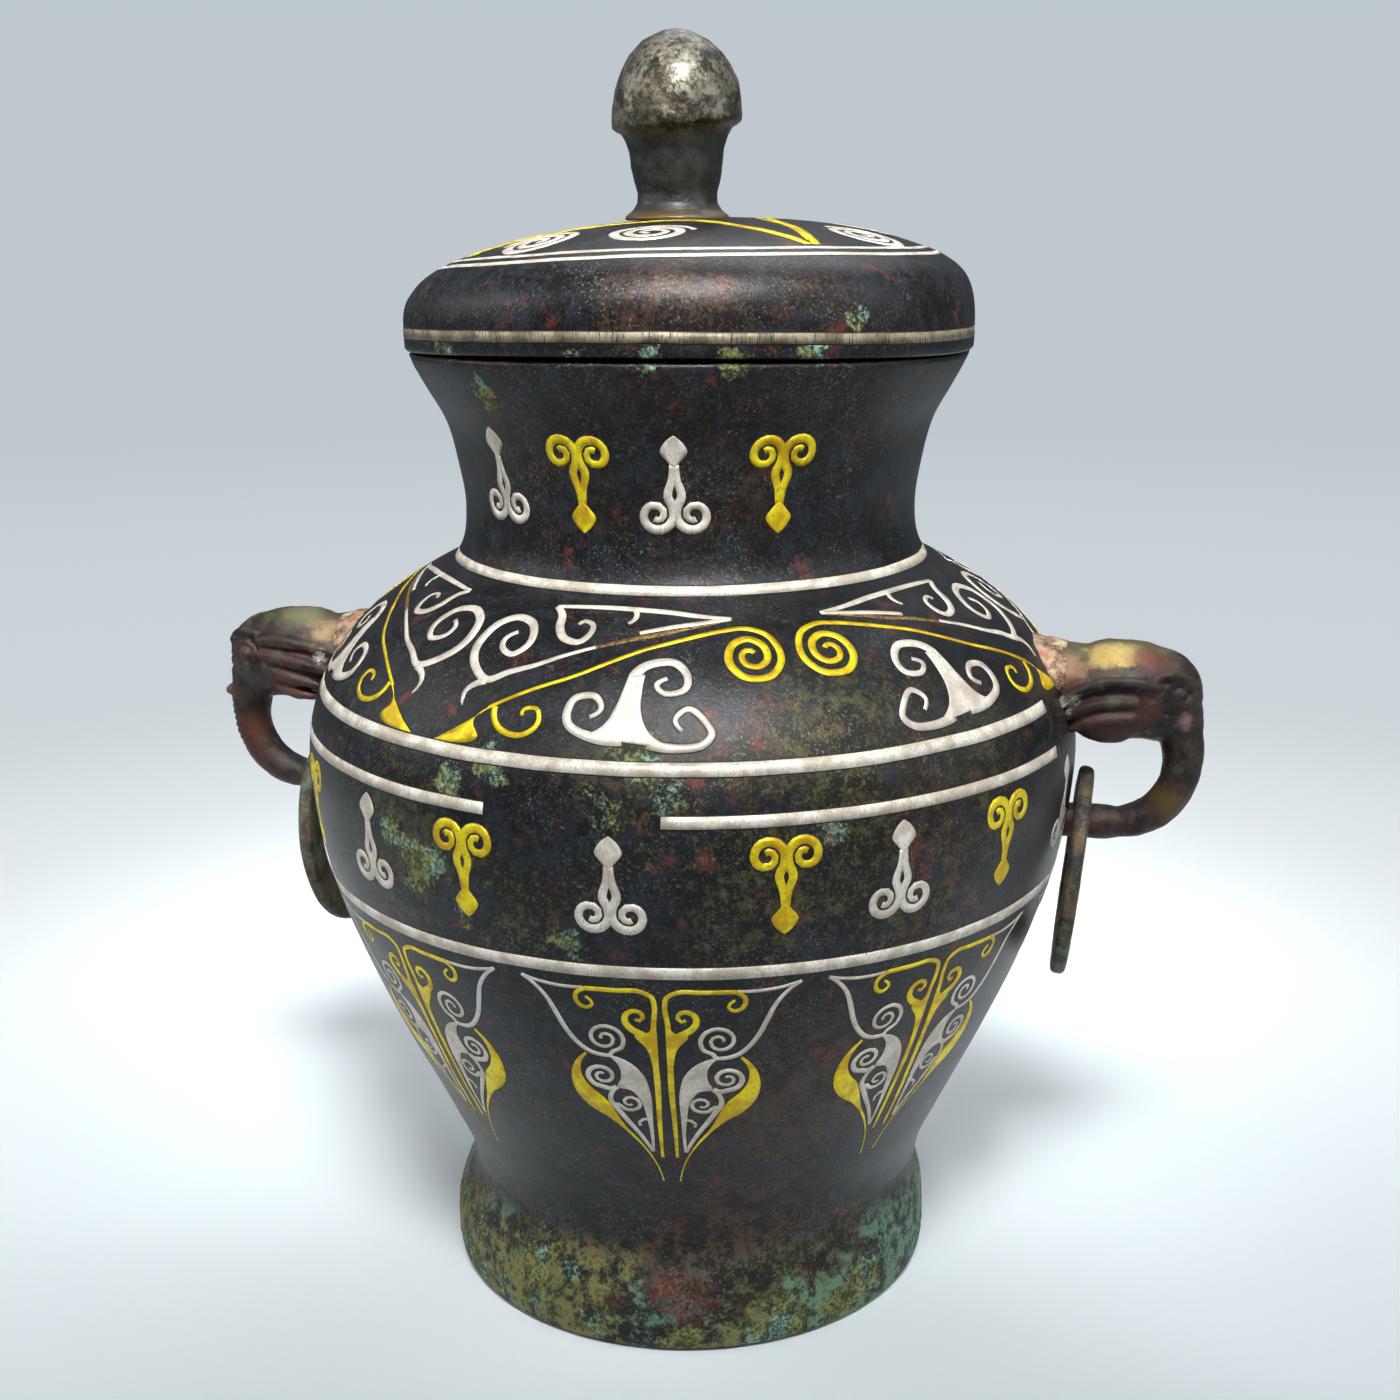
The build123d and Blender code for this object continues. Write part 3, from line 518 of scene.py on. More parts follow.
def knobBronze():
    f = Finish("knobBronze")
    wide, medium = f.cloud(17, 5.0, 0.6), f.cloud(5, 6.0, 0.65, shift=(9, 2, 4))
    fine, grain = f.cloud(1.2, 5.0, 0.65), f.cloud(0.4, 3.0, 0.6)
    tall = f.height()
    cap = f.step(tall + medium * 6.0, 306.5, 311.0)
    base = f.colour(f.step(medium, 0.38, 0.62), tint(22, 27, 29), tint(50, 55, 50))
    shine = f.colour(f.step(medium * 0.6 + fine * 0.4, 0.42, 0.6), tint(46, 43, 33), tint(140, 136, 120))
    base = f.colour(cap * 0.9, base, shine)
    base = f.colour(f.step(wide, 0.52, 0.62) * 0.5, base, tint(74, 62, 40))
    base = f.colour((1.0 - f.step(tall + medium * 3.0, 285.5, 289.0)) * 0.7, base, tint(112, 88, 54))
    green = f.step(f.cloud(6, 5.0, 0.7, shift=(70, 7, 1)), 0.6, 0.68)
    base = f.colour(green * 0.55, base, tint(66, 86, 66))
    relief = medium * 1.6 + fine * 0.9 + grain * 0.3
    return f.done(base, 0.3 + fine * 0.22, 0.35 + cap * 0.4, relief, depth=0.22, coat=0.2)


bm = bmesh.new()
turnOutline(bm, evenLine([Vector(spot) for spot in lid["knob"]], 110), 96, lid["knobCentre"])
for vertex in bm.verts:
    place = vertex.co / mm
    tilt = max(0.0, min(1.0, (place.z - 290) / 14)) * max(0.0, min(1.0, (329 - place.z) / 12))
    side = place.x - lid["knobCentre"][0]
    lump = noise.fractal(place / 11, 0.9, 2.0, 3)
    vertex.co.z += 0.055 * side * tilt * mm
    inwards = Vector((side, place.y - lid["knobCentre"][1], 0)) * (-0.018 - 0.03 * lump)
    vertex.co += inwards * min(1.0, max(0.0, (place.z - 284.5) / 6)) * mm
knob = addPiece("lidKnob", bm, [knobBronze()], "lid", ["lid_knob"])
bm = bmesh.new()
turnOutline(bm, lid["tenon"], 40, lid["knobCentre"])
knobTenon = addPiece("knobTenon", bm, [finishes["rough"]], "lid", [])
print("lid and knob made")


# ---- inlay: drawings laid on the bronze as thin strips of metal

class Drawing:
    # where a flat drawing lies: place turns across, along and rise into a point; unit is mm per step across
    def __init__(self, place, unit=lambda along: 1.0):
        self.place, self.unit = place, unit

    def sides(self, line, widths):
        # the two edges of a strip along a middle line, whose widths are spread along it
        left, right = [], []
        last = len(line) - 1
        for index, spot in enumerate(line):
            unit = self.unit(spot.y)
            ahead, behind = line[min(index + 1, last)], line[max(index - 1, 0)]
            run = Vector(((ahead.x - behind.x) * unit, ahead.y - behind.y)).normalized()
            along = index / last * (len(widths) - 1)
            low = min(int(along), len(widths) - 2)
            half = (widths[low] + (widths[low + 1] - widths[low]) * (along - low)) / 2
            left.append(Vector((spot.x - run.y * half / unit, spot.y + run.x * half)))
            right.append(Vector((spot.x + run.y * half / unit, spot.y - run.x * half)))
        return left, right


inlay = {"top": 0.1, "edge": 0.07, "sunk": -0.25, "bedMargin": 0.26, "bedTop": 0.03, "step": 1.1}


def layCap(bm, drawing, left, right, top, edge, sunk, material, closed=False):
    # a low cap of metal between two lines, its rim pressed into the bronze
    wide = max(((b - a).x * drawing.unit(a.y)) ** 2 + (b - a).y ** 2 for a, b in zip(left, right)) ** 0.5
    inner = max(2, round(wide / 1.8))
    columns = [(0.0, sunk), (0.0, edge)]
    columns += [(step / inner, top if 0 < step < inner else edge) for step in range(1, inner)]
    columns += [(1.0, edge), (1.0, sunk)]
    rows = len(left) - 1
    ends = 0 if closed else 1
    made = bmesh.ops.create_grid(bm, x_segments=len(columns) - 1, y_segments=rows + 2 * ends, size=1.0)
    for vertex in made["verts"]:
        column = round((vertex.co.x + 1) / 2 * (len(columns) - 1))
        row = round((vertex.co.y + 1) / 2 * (rows + 2 * ends))
        at = min(max(row - ends, 0), rows)
        share, rise = columns[column]
        if ends and (row == 0 or row == rows + 2):
            rise = sunk
        elif ends and (row == 1 or row == rows + 1):
            rise = min(rise, edge)
        spot = left[at].lerp(right[at], share)
        vertex.co = drawing.place(spot.x, spot.y, rise)
    faces = list({face for vertex in made["verts"] for face in vertex.link_faces})
    middle = max(faces, key=lambda face: face.calc_area())
    middle.normal_update()
    spot = left[rows // 2].lerp(right[rows // 2], 0.5)
    out = drawing.place(spot.x, spot.y, 1.0) - drawing.place(spot.x, spot.y, 0.0)
    if middle.normal.dot(out) < 0:
        bmesh.ops.reverse_faces(bm, faces=faces)
    for face in faces:
        face.material_index = material


def layBetween(bm, drawing, left, right, closed=False):
    # a strip and the dark bed that shows round it
    layCap(bm, drawing, left, right, inlay["top"], inlay["edge"], inlay["sunk"], 0, closed)
    margin = inlay["bedMargin"]
    wider = [], []
    last = len(left) - 1
    for index, (a, b) in enumerate(zip(left, right)):
        unit = drawing.unit(a.y)
        across = Vector(((b.x - a.x) * unit, b.y - a.y))
        if across.length < 0.05:
            ahead, behind = min(index + 1, last), max(index - 1, 0)
            run = (left[ahead] + right[ahead] - left[behind] - right[behind]) / 2
            across = Vector((run.y, -run.x * unit))
        across = across.normalized() * margin
        move = Vector((across.x / unit, across.y))
        wider[0].append(a - move)
        wider[1].append(b + move)
    layCap(bm, drawing, wider[0], wider[1], inlay["bedTop"], inlay["bedTop"] * 0.5, inlay["sunk"], 1, closed)


def stroke(bm, drawing, points, widths, worn=False):
    # a strip along smooth points, or the flat stain that a lost strip left
    line = smoothLine(points, inlay["step"] / max(drawing.unit(points[0][1]), 1.0))
    left, right = drawing.sides(line, widths)
    if worn:
        layCap(bm, drawing, left, right, inlay["bedTop"], inlay["bedTop"] * 0.5, inlay["sunk"], 2)
    else:
        layBetween(bm, drawing, left, right)


def leaf(bm, drawing, firstSide, secondSide):
    # a filled piece between two smooth sides that run the same way
    first, second = smoothLine(firstSide, 0.8), smoothLine(secondSide, 0.8)
    count = max(len(first), len(second), 12)
    count = min(count, 48)
    layBetween(bm, drawing, evenLine(first, count), evenLine(second, count))


def onBelly(angle, side=1):
    # across in mm from an axis at that angle, and distance up the belly's outline
    def place(across, along, rise):
        spot, out = bellySide.spot(along)
        turn = radians(angle) + side * across / spot.x
        return onTurn(turn, spot.x + dent(turn, spot.y) + out.x * rise, spot.y + out.y * rise)
    return Drawing(place)


def onShoulder(start, side=1):
    # degrees from a start angle, and distance up the belly's outline
    def place(across, along, rise):
        spot, out = bellySide.spot(along)
        turn = radians(start + side * across)
        return onTurn(turn, spot.x + dent(turn, spot.y) + out.x * rise, spot.y + out.y * rise)
    return Drawing(place, lambda along: bellySide.spot(along)[0].x * pi / 180)


def onNeck(angle, middle):
    # across in mm from an axis at that angle, and up from a middle height
    def place(across, along, rise):
        spot, out = neckSide.spot(neckSide.atHeight(middle + along))
        turn = radians(angle) + across / spot.x
        return onTurn(turn, spot.x + dent(turn, spot.y) + out.x * rise, spot.y + out.y * rise)
    return Drawing(place)


def neckRootPoint(across, along, rise):
    # degrees from the front, and distance up the neck's outline
    spot, out = neckSide.spot(along)
    turn = radians(across)
    return onTurn(turn, spot.x + dent(turn, spot.y) + out.x * rise, spot.y + out.y * rise)


onNeckRoot = Drawing(neckRootPoint, lambda along: neckSide.spot(along)[0].x * pi / 180)


def onBellyRow(angle, middle):
    def place(across, along, rise):
        spot, out = bellySide.spot(bellySide.atHeight(middle + along))
        turn = radians(angle) + across / spot.x
        return onTurn(turn, spot.x + dent(turn, spot.y) + out.x * rise, spot.y + out.y * rise)
    return Drawing(place)


def lidPoint(x, y, rise):
    # plan view of the lid, in mm to the right and to the front
    reach = max(hypot(x, y), 0.01)
    low, high = 0.0, lidSide.lengths[-1]
    for _ in range(24):
        middle = (low + high) / 2
        if lidSide.spot(middle)[0].x < reach:
            low = middle
        else:
            high = middle
    spot, out = lidSide.spot(low)
    place = Vector((spot.x * x / reach, -spot.x * y / reach, spot.y))
    place.z += lidSettle(place)
    way = Vector((out.x * x / reach, -out.x * y / reach, out.y)) * (-1 if out.y < 0 else 1)
    return (place + way * rise) * mm


onLid = Drawing(lidPoint)


def lidPolar(angle, reach):
    return reach * sin(radians(angle)), reach * cos(radians(angle))


def inlayPiece(name, bm, metal, body, nodes):
    return addPiece(name, bm, [finishes[metal], finishes["bed"], finishes["worn"]], body, nodes)


# ---- inlaid bands

neckRootBand = {"along": 1.1, "width": 2.6}
bands = {
    "upperShoulderBand": (bellySide.atHeight(167.4), 3.2, [(-74.5, 74.5), (105.5, 254.5)], "shoulder_band_upper"),
    "lowerShoulderBand": (
        bellySide.atHeight(156.3), 2.8, [(-74.5, -15.0), (8.7, 74.5), (105.5, 254.5)], "shoulder_band_lower",
    ),
    "bellyBand": (bellySide.atHeight(119.4), 3.2, [(0, 360)], "belly_band"),
}


def layBand(bm, drawing, along, width, start, end, step):
    # a band at one distance along an outline, between two angles
    closed = end - start >= 360
    count = max(4, round((end - start) / step))
    angles = [start + (end - start) * index / count for index in range(count + 1)]
    wander = [0.22 * noise.noise(Vector((cos(radians(a)) * 6, sin(radians(a)) * 6, along))) for a in angles]
    left = [Vector((a, along - width / 2 + w)) for a, w in zip(angles, wander)]
    right = [Vector((a, along + width / 2 + w * 0.6)) for a, w in zip(angles, wander)]
    layBetween(bm, drawing, left, right, closed)
    if closed:
        bmesh.ops.remove_doubles(bm, verts=bm.verts, dist=0.00001)


for name, (along, width, stretches, node) in bands.items():
    bm = bmesh.new()
    for start, end in stretches:
        layBand(bm, onShoulder(0), along, width, start, end, 1.25)
    inlayPiece(name, bm, "paleSilver", "jar", [node])


def onLidEdge(across, along, rise):
    # round the lid's upright edge: degrees, and height
    spot = onTurn(radians(across), 73.0, along) / mm
    return onTurn(radians(across), 73.0 + rise, along + lidSettle(spot))


def onLidTop(across, along, rise):
    # round the lid's dome: degrees, and distance from the axis
    x, y = lidPolar(across, along)
    return lidPoint(x, y, rise)


lidTurns = Drawing(onLidTop, lambda along: along * pi / 180)
bm = bmesh.new()
layBand(bm, Drawing(onLidEdge, lambda along: 73.0 * pi / 180), 256.6, 2.4, 0, 360, 1.25)
inlayPiece("lidRimBand", bm, "brass", "lid", ["lid_rim_band"])
bm = bmesh.new()
for reach in (60.2, 63.4):
    layBand(bm, lidTurns, reach, 1.3, 0, 360, 1.5)
inlayPiece("lidEdgeLines", bm, "silver", "lid", ["lid_edge_lines"])
bm = bmesh.new()
layBand(bm, onNeckRoot, neckRootBand["along"], neckRootBand["width"], 0, 360, 1.25)
inlayPiece("neckBand", bm, "paleSilver", "jar", ["neck_band"])
print("bands made")


# ---- hanging blades on the lower belly

blades = {
    "angles": [-35.0, 7.9, 50.4, 96.2, 142.0, 187.7, 233.5, 279.3],
    "gold": [
        ([(17.5, 93.1), (10, 93.2), (4, 93.1), (1.7, 91.7), (1.2, 89.2), (1.6, 83.6), (1.8, 76.9), (1.7, 69.2),
          (1.6, 61.4), (1.8, 50.3), (1.8, 35.6)], [1.2, 1.2, 1.3, 1.5, 1.2, 0.8]),
        ([(17.5, 93.1), (19.8, 90.8), (19.1, 88.3), (17.2, 87.4), (15.8, 88.6), (17.4, 90.7)], [1.2, 1.1, 0.7]),
        ([(3.0, 77.5), (4.4, 79.9), (6.6, 81.4), (8.2, 83.6), (8.1, 85.9), (6.5, 87.3), (4.7, 87.0), (4.0, 85.4),
          (4.9, 84.3), (5.9, 84.8)], [2.6, 1.9, 1.5, 1.2, 0.9]),
    ],
    "goldFork": (
        [(1.1, 84.0), (1.0, 78.0), (1.0, 71.0), (1.1, 63.0)],
        [(1.9, 84.0), (3.2, 80.6), (6.2, 79.9), (3.6, 75.6), (2.5, 70.0), (2.2, 63.0)],
    ),
    "goldLeaf": (
        [(18.6, 72.8), (21.4, 69.2), (22.8, 63.1), (21.6, 57.5), (18.9, 53.6), (14, 49.7), (8.6, 43.1), (4.5, 35.3),
         (2.3, 25.8)],
        [(18.2, 72.2), (19.9, 69.0), (19.9, 64.2), (18.0, 60.6), (14.9, 57.2), (12.6, 52.6), (10.6, 47.8),
         (6.9, 41.6), (3.7, 34.2), (1.9, 25.8)],
    ),
    "silver": [
        ([(17.9, 93.3), (30.6, 94.2), (33, 94.9)], [0.8, 0.9, 0.8]),
        ([(33, 94.9), (30.1, 92.8), (27.1, 89.2), (25, 84.7), (22.8, 79.7), (20.2, 75.8), (17.8, 73.6), (15, 72.6),
          (12.2, 73.1)] + curl((13.5, 78.1), 5.0, 0.8, 255, -1.75), [0.8, 1.3, 1.2, 1.1, 1.0, 0.8]),
        ([(11.5, 61.7), (13.7, 60.9)] + curl((14.9, 65.3), 4.1, 0.8, 265, 1.6), [1.6, 1.2, 0.8]),
        ([(11.3, 61.7), (13, 59.2), (13.3, 56.4), (11.9, 53.6), (9.9, 50), (6.7, 44.2), (4.1, 37.8)],
         [1.0, 1.5, 1.2, 0.8]),
        ([(12.3, 55.2)] + curl((8.6, 56.4), 3.2, 0.8, 340, -1.3), [1.2, 1.0, 0.7]),
        ([(3.9, 50.3), (5.7, 50.4), (6.8, 49.2), (6.6, 47.8)], [0.9, 0.9, 0.7]),
    ],
    "silverLeaf": (
        [(11.9, 72.5), (7.6, 70.3), (4.8, 66.4), (3.6, 61.4), (3.4, 50.3), (3.6, 37.8)],
        [(13.0, 72.4), (10.4, 68.6), (10.4, 64.6), (11.4, 61.7), (8.2, 61.0), (6.2, 58.0), (4.8, 50.3), (4.4, 37.8)],
    ),
}
goldBm, silverBm = bmesh.new(), bmesh.new()
for angle in blades["angles"]:
    for side in (1, -1):
        drawing = onBelly(angle, side)
        for points, widths in blades["gold"]:
            stroke(goldBm, drawing, points, widths)
        leaf(goldBm, drawing, *blades["goldLeaf"])
        leaf(goldBm, drawing, *blades["goldFork"])
        for points, widths in blades["silver"]:
            stroke(silverBm, drawing, points, widths)
        leaf(silverBm, drawing, *blades["silverLeaf"])
inlayPiece("goldBlades", goldBm, "gold", "jar", ["belly_blades_gold"])
inlayPiece("silverBlades", silverBm, "silver", "jar", ["belly_blades_silver"])
print("blades made")


# ---- scrolls round the shoulder

scrolls = {
    "edges": [-27.0, 29.0, 87.0, 148.0, 209.0, 270.0, 333.0],
    "gold": [
        ([(-17.4, 158.8), (-16.5, 159.8), (-11.2, 164.8), (-5.5, 169.1), (-0.2, 173.8), (5.1, 177.9), (10, 180.4),
          (15.1, 182.6), (19.4, 183.9)] + [(22.4 + x / 1.6, 175.6 + y) for x, y in curl((0, 0), 8.7, 1.2, 97, -2.15)],
         [0.9, 0.9, 1.0, 1.2, 1.6, 1.9, 1.8, 1.3]),
        ([(-16.3, 159.4), (-15.9, 156.6), (-14, 153.8), (-11.6, 153.2), (-9.6, 154.8), (-9, 157.9), (-10, 160.1),
          (-11.4, 159.8), (-11.7, 157.9)], [1.4, 1.5, 1.3, 1.1, 0.9]),
    ],
    "goldLeaf": (
        [(-24.8, 149.4), (-21.4, 153.2), (-16.5, 159.8)],
        [(-24.8, 149.4), (-17.7, 151.9), (-19.0, 154.4), (-16.5, 159.8)],
    ),
    "silver": [
        ([(-3.5, 178.0), (-9.2, 174.1), (-12.8, 171), (-16.5, 168.5), (-19.7, 165.7), (-23, 168.5), (-25.2, 172.9),
          (-25.6, 177.9), (-24.2, 182.9), (-21.4, 185.1), (-18.1, 184.1), (-15.9, 179.8), (-16.1, 176),
          (-17.9, 173.5), (-20.1, 174.8), (-20.8, 178.5), (-19.3, 180.4)], [0.9, 1.2, 2.0, 2.4, 2.1, 1.7, 1.1]),
        ([(-19.7, 165.4), (-22.2, 162.9), (-22, 158.5)], [2.0, 1.4, 0.6]),
        ([(-14.9, 190.2), (-9.6, 190.9), (-3.5, 191.2), (2.6, 190.9), (8.8, 190.1), (14, 188.8), (20.2, 187.6)],
         [1.1, 1.4, 1.6, 1.5, 1.0]),
        ([(3.5, 182.9), (8.3, 184.8), (14.3, 186.3), (20.2, 187.6)], [1.1, 1.3, 1.1]),
        ([(-14.9, 190.2), (-12.8, 187.6), (-11.6, 182.9), (-9.6, 179.8), (-7.1, 179.1), (-5.5, 181.6), (-5.9, 185.4),
          (-7.5, 186), (-8.3, 184.8)], [1.4, 2.1, 1.9, 1.4, 1.0]),
        ([(1.8, 190.4), (2.2, 188.2), (1, 186)], [1.3, 1.2, 0.8]),
        ([(3.2, 153.9), (-1.4, 154.4), (-4.3, 156.6), (-5, 160.4), (-3.9, 163.8), (-1.8, 164.4), (-0.2, 161),
          (-1.6, 159.0)], [2.8, 2.2, 1.9, 1.6, 1.0]),
        ([(6.7, 153.2), (10.8, 152.2), (13.9, 152.9), (15.3, 155.4), (14.7, 157.9), (12.1, 161.6), (10.4, 159.1),
          (11.3, 156.3)], [2.4, 1.9, 1.6, 1.4, 1.0]),
        ([(3.9, 169.8), (6.3, 173.5), (9.6, 174.1), (12, 170.4), (11.2, 166), (8.8, 165.4), (7.5, 167.9),
          (9, 169.5)], [2.6, 2.2, 1.8, 1.5, 1.0]),
    ],
    "silverLeaf": (
        [(-2.2, 154.4), (0.2, 156.8), (1.8, 161.6), (2.6, 166.4), (3.2, 170.8)],
        [(10.2, 152.3), (7.0, 155.6), (5.6, 160.4), (5.4, 165.6), (5.6, 170.4)],
    ),
    "worn": ([(-3.5, 178.0), (1.8, 180.6), (8.4, 183.2), (14.6, 185.6), (20.0, 187.0)], [1.0, 1.3, 1.1, 0.7]),
}


class HalfRound:
    # a shoulder drawing that runs from one unit edge to the other
    def __init__(self, start, end):
        self.middle = (start + end) / 2
        self.stretch = abs(end - start) / 56.0
        self.side = 1 if end > start else -1

    def drawing(self):
        return onShoulder(self.middle - self.side * 1.0 * self.stretch, self.side)

    def points(self, points):
        return [(across * self.stretch, along) for across, along in points]


goldBm, silverBm = bmesh.new(), bmesh.new()
edges = scrolls["edges"]
for number, (start, end) in enumerate(zip(edges, edges[1:])):
    unit = HalfRound(start, end) if number % 2 == 0 else HalfRound(end, start)
    drawing = unit.drawing()
    for metal, target in (("gold", goldBm), ("silver", silverBm)):
        for points, widths in scrolls[metal]:
            stroke(target, drawing, unit.points(points), widths)
        sides = scrolls[metal + "Leaf"]
        leaf(target, drawing, unit.points(sides[0]), unit.points(sides[1]))
    stroke(silverBm, drawing, unit.points(scrolls["worn"][0]), scrolls["worn"][1], worn=True)
inlayPiece("goldShoulderScrolls", goldBm, "gold", "jar", ["shoulder_scrolls_gold"])
inlayPiece("silverShoulderScrolls", silverBm, "silver", "jar", ["shoulder_scrolls_silver"])
print("shoulder scrolls made")


# ---- rows of small motifs on the belly and the neck

motifs = {
    "bellyMiddle": 141.0,
    "neckMiddle": 224.5,
    "bellyFront": [-36.6, -18.3, 2.1, 24.3, 40.4, 59.4],
    "bellyBack": 12,
    "neckFront": [-36.2, -12.5, 9.2, 33.1],
    "fork": [(0.3, -5.0), (0.6, -1.4), (1.6, 2.6)] + curl((4.4, 7.0), 4.3, 1.0, 205, -1.4),
    "lozenge": ([(0, -12.0), (-2.6, -9.6), (-3.2, -8.2), (-2.0, -6.4), (0, -4.2)],
                [(0, -12.0), (2.6, -9.6), (3.2, -8.2), (2.0, -6.4), (0, -4.2)]),
}


def layMotif(bm, drawing, way, scale):
    # a stem that parts into two curls over a lozenge, upright or upside down
    def flip(points, side):
        return [(side * across * scale, way * along * scale) for across, along in points]
    for side in (1, -1):
        stroke(bm, drawing, flip(motifs["fork"], side), [1.6, 2.1, 2.2, 1.9, 1.5])
    first, second = motifs["lozenge"]
    leaf(bm, drawing, flip(first, 1), flip(second, 1))


front = motifs["bellyFront"]
step = (360.0 + front[0] - front[-1]) / (motifs["bellyBack"] + 1)
bellyAngles = front + [front[-1] + step * (count + 1) for count in range(motifs["bellyBack"])]
neckAngles = motifs["neckFront"] + [angle + 180 for angle in motifs["neckFront"]]
rows = [
    ("Belly", bellyAngles, onBellyRow, motifs["bellyMiddle"], "belly", 1.0),
    ("Neck", neckAngles, onNeck, motifs["neckMiddle"], "neck", 1.0),
]
for title, angles, drawn, middle, node, scale in rows:
    for metal, offset, way in (("silver", 0, -1), ("gold", 1, 1)):
        bm = bmesh.new()
        for angle in angles[offset::2]:
            layMotif(bm, drawn(angle, middle), way, scale)
        inlayPiece(metal + title + "Motifs", bm, metal, "jar", [f"{node}_motifs_{metal}"])
print("motifs made")


# ---- scrolls on the lid

lidDrawing = {
    "points": [-57, 42, 133, 222],
    "spirals": [(-33, 50), (1.5, 45), (70, 50), (105, 46), (160, 46), (195, 50), (247, 46), (280, 50)],
    "bow": [(-1, 58), (-0.82, 41), (-0.52, 26.8), (0, 21.5), (0.52, 26.8), (0.82, 41), (1, 58)],
    "bowWidths": [(0.0, 1.9), (-3.2, 1.1)],
    "spiral": (10.2, 1.2, 2.7, [1.4, 2.4, 2.5, 2.2, 1.6]),
}
goldBm, silverBm = bmesh.new(), bmesh.new()
points = lidDrawing["points"]
for start, end in zip(points, points[1:] + [points[0] + 360]):
    for inwards, width in lidDrawing["bowWidths"]:
        middle, half = (start + end) / 2, (end - start) / 2 - 1
        bow = [lidPolar(middle + half * share, reach + inwards) for share, reach in lidDrawing["bow"]]
        stroke(goldBm, onLid, bow, [width * 1.2, width, width, width, width * 1.2])
outer, inner, turns, widths = lidDrawing["spiral"]
for number, (angle, reach) in enumerate(lidDrawing["spirals"]):
    way = -1 if number % 2 else 1
    spiral = curl(lidPolar(angle, reach), outer, inner, 200 if way > 0 else -20, way * turns)
    stroke(silverBm, onLid, spiral, widths)
inlayPiece("goldLidScrolls", goldBm, "gold", "lid", ["lid_scrolls_gold"])
inlayPiece("silverLidScrolls", silverBm, "silver", "lid", ["lid_scrolls_silver"])
print("lid scrolls made")


# ---- loose rings

def ringBronze():
    f = Finish("ringBronze")
    medium, fine = f.cloud(4.5, 6.0, 0.65), f.cloud(0.9, 5.0, 0.65)
    base = f.colour(f.step(medium, 0.4, 0.6), tint(40, 42, 40), tint(92, 78, 56))
    green = f.step(f.cloud(7, 5.0, 0.7, shift=(11, 70, 1)), 0.5, 0.62)
    base = f.colour(green * 0.7, base, tint(84, 104, 84))
    red = f.step(f.cloud(5, 4.0, 0.6, shift=(1, 5, 60)), 0.6, 0.68)
    base = f.colour(red * 0.6, base, tint(104, 54, 42))
    pale = f.step(fine, 0.56, 0.66)
    base = f.colour(pale * 0.5, base, tint(138, 132, 108))
    return f.done(base, 0.42 + fine * 0.25, 0.35 - green * 0.25, medium * 1.4 + fine * 1.0, depth=0.3)


ring = {"radius": 28.25, "band": 9.2, "thickness": 4.2, "corner": 1.5, "station": 104.6, "hang": 129.8,
        "trunk": 4.6, "gap": 0.5, "lean": 5.8}
ringFinish = ringBronze()
for side, name in ((1, "right"), (-1, "left")):
    bm = bmesh.new()
    outer, inner, half, corner = ring["radius"], ring["radius"] - ring["band"], ring["thickness"] / 2, ring["corner"]
    section = []
    for x, z, start in ((outer - corner, half - corner, 90), (inner + corner, half - corner, 180)):
        for step in range(4):
            angle = radians(start - 90 + 30 * step)
            section.append((x + corner * cos(angle), z + corner * sin(angle)))
    section += [(x, -z) for x, z in reversed(section)]
    turnOutline(bm, section + section[:1], 110)
    for vertex in bm.verts:
        place = vertex.co / mm
        reach = hypot(place.x, place.y)
        lump = noise.fractal(place / 9 + Vector((side * 5, 0, 0)), 0.9, 2.0, 3)
        facet = 0.25 * abs(sin(4.5 * Vector((place.x, place.y)).angle_signed(Vector((1, 0))) + side))
        vertex.co.x *= 1 - (0.2 + 0.25 * lump + facet) / reach
        vertex.co.y *= 1 - (0.2 + 0.25 * lump + facet) / reach
        vertex.co.z *= 0.94 + 0.06 * lump
    drop = ring["radius"] - ring["band"] - ring["trunk"] - ring["gap"]
    lean = radians(ring["lean"])
    centre = Vector((ring["station"] - drop * sin(lean), 0, ring["hang"] - drop * cos(lean))) * mm
    upright = Matrix.Rotation(pi / 2 + lean, 4, "Y")
    turn = Matrix.Rotation(0 if side > 0 else pi, 4, "Z")
    bmesh.ops.transform(bm, matrix=turn @ Matrix.Translation(centre) @ upright, verts=bm.verts)
    addPiece(name + "LooseRing", bm, [ringFinish], name + "_ring", [name + "_ring"], weld=True)
print("rings made")

# ---- elephant-head handles, built up from soft forms and fused, then chased

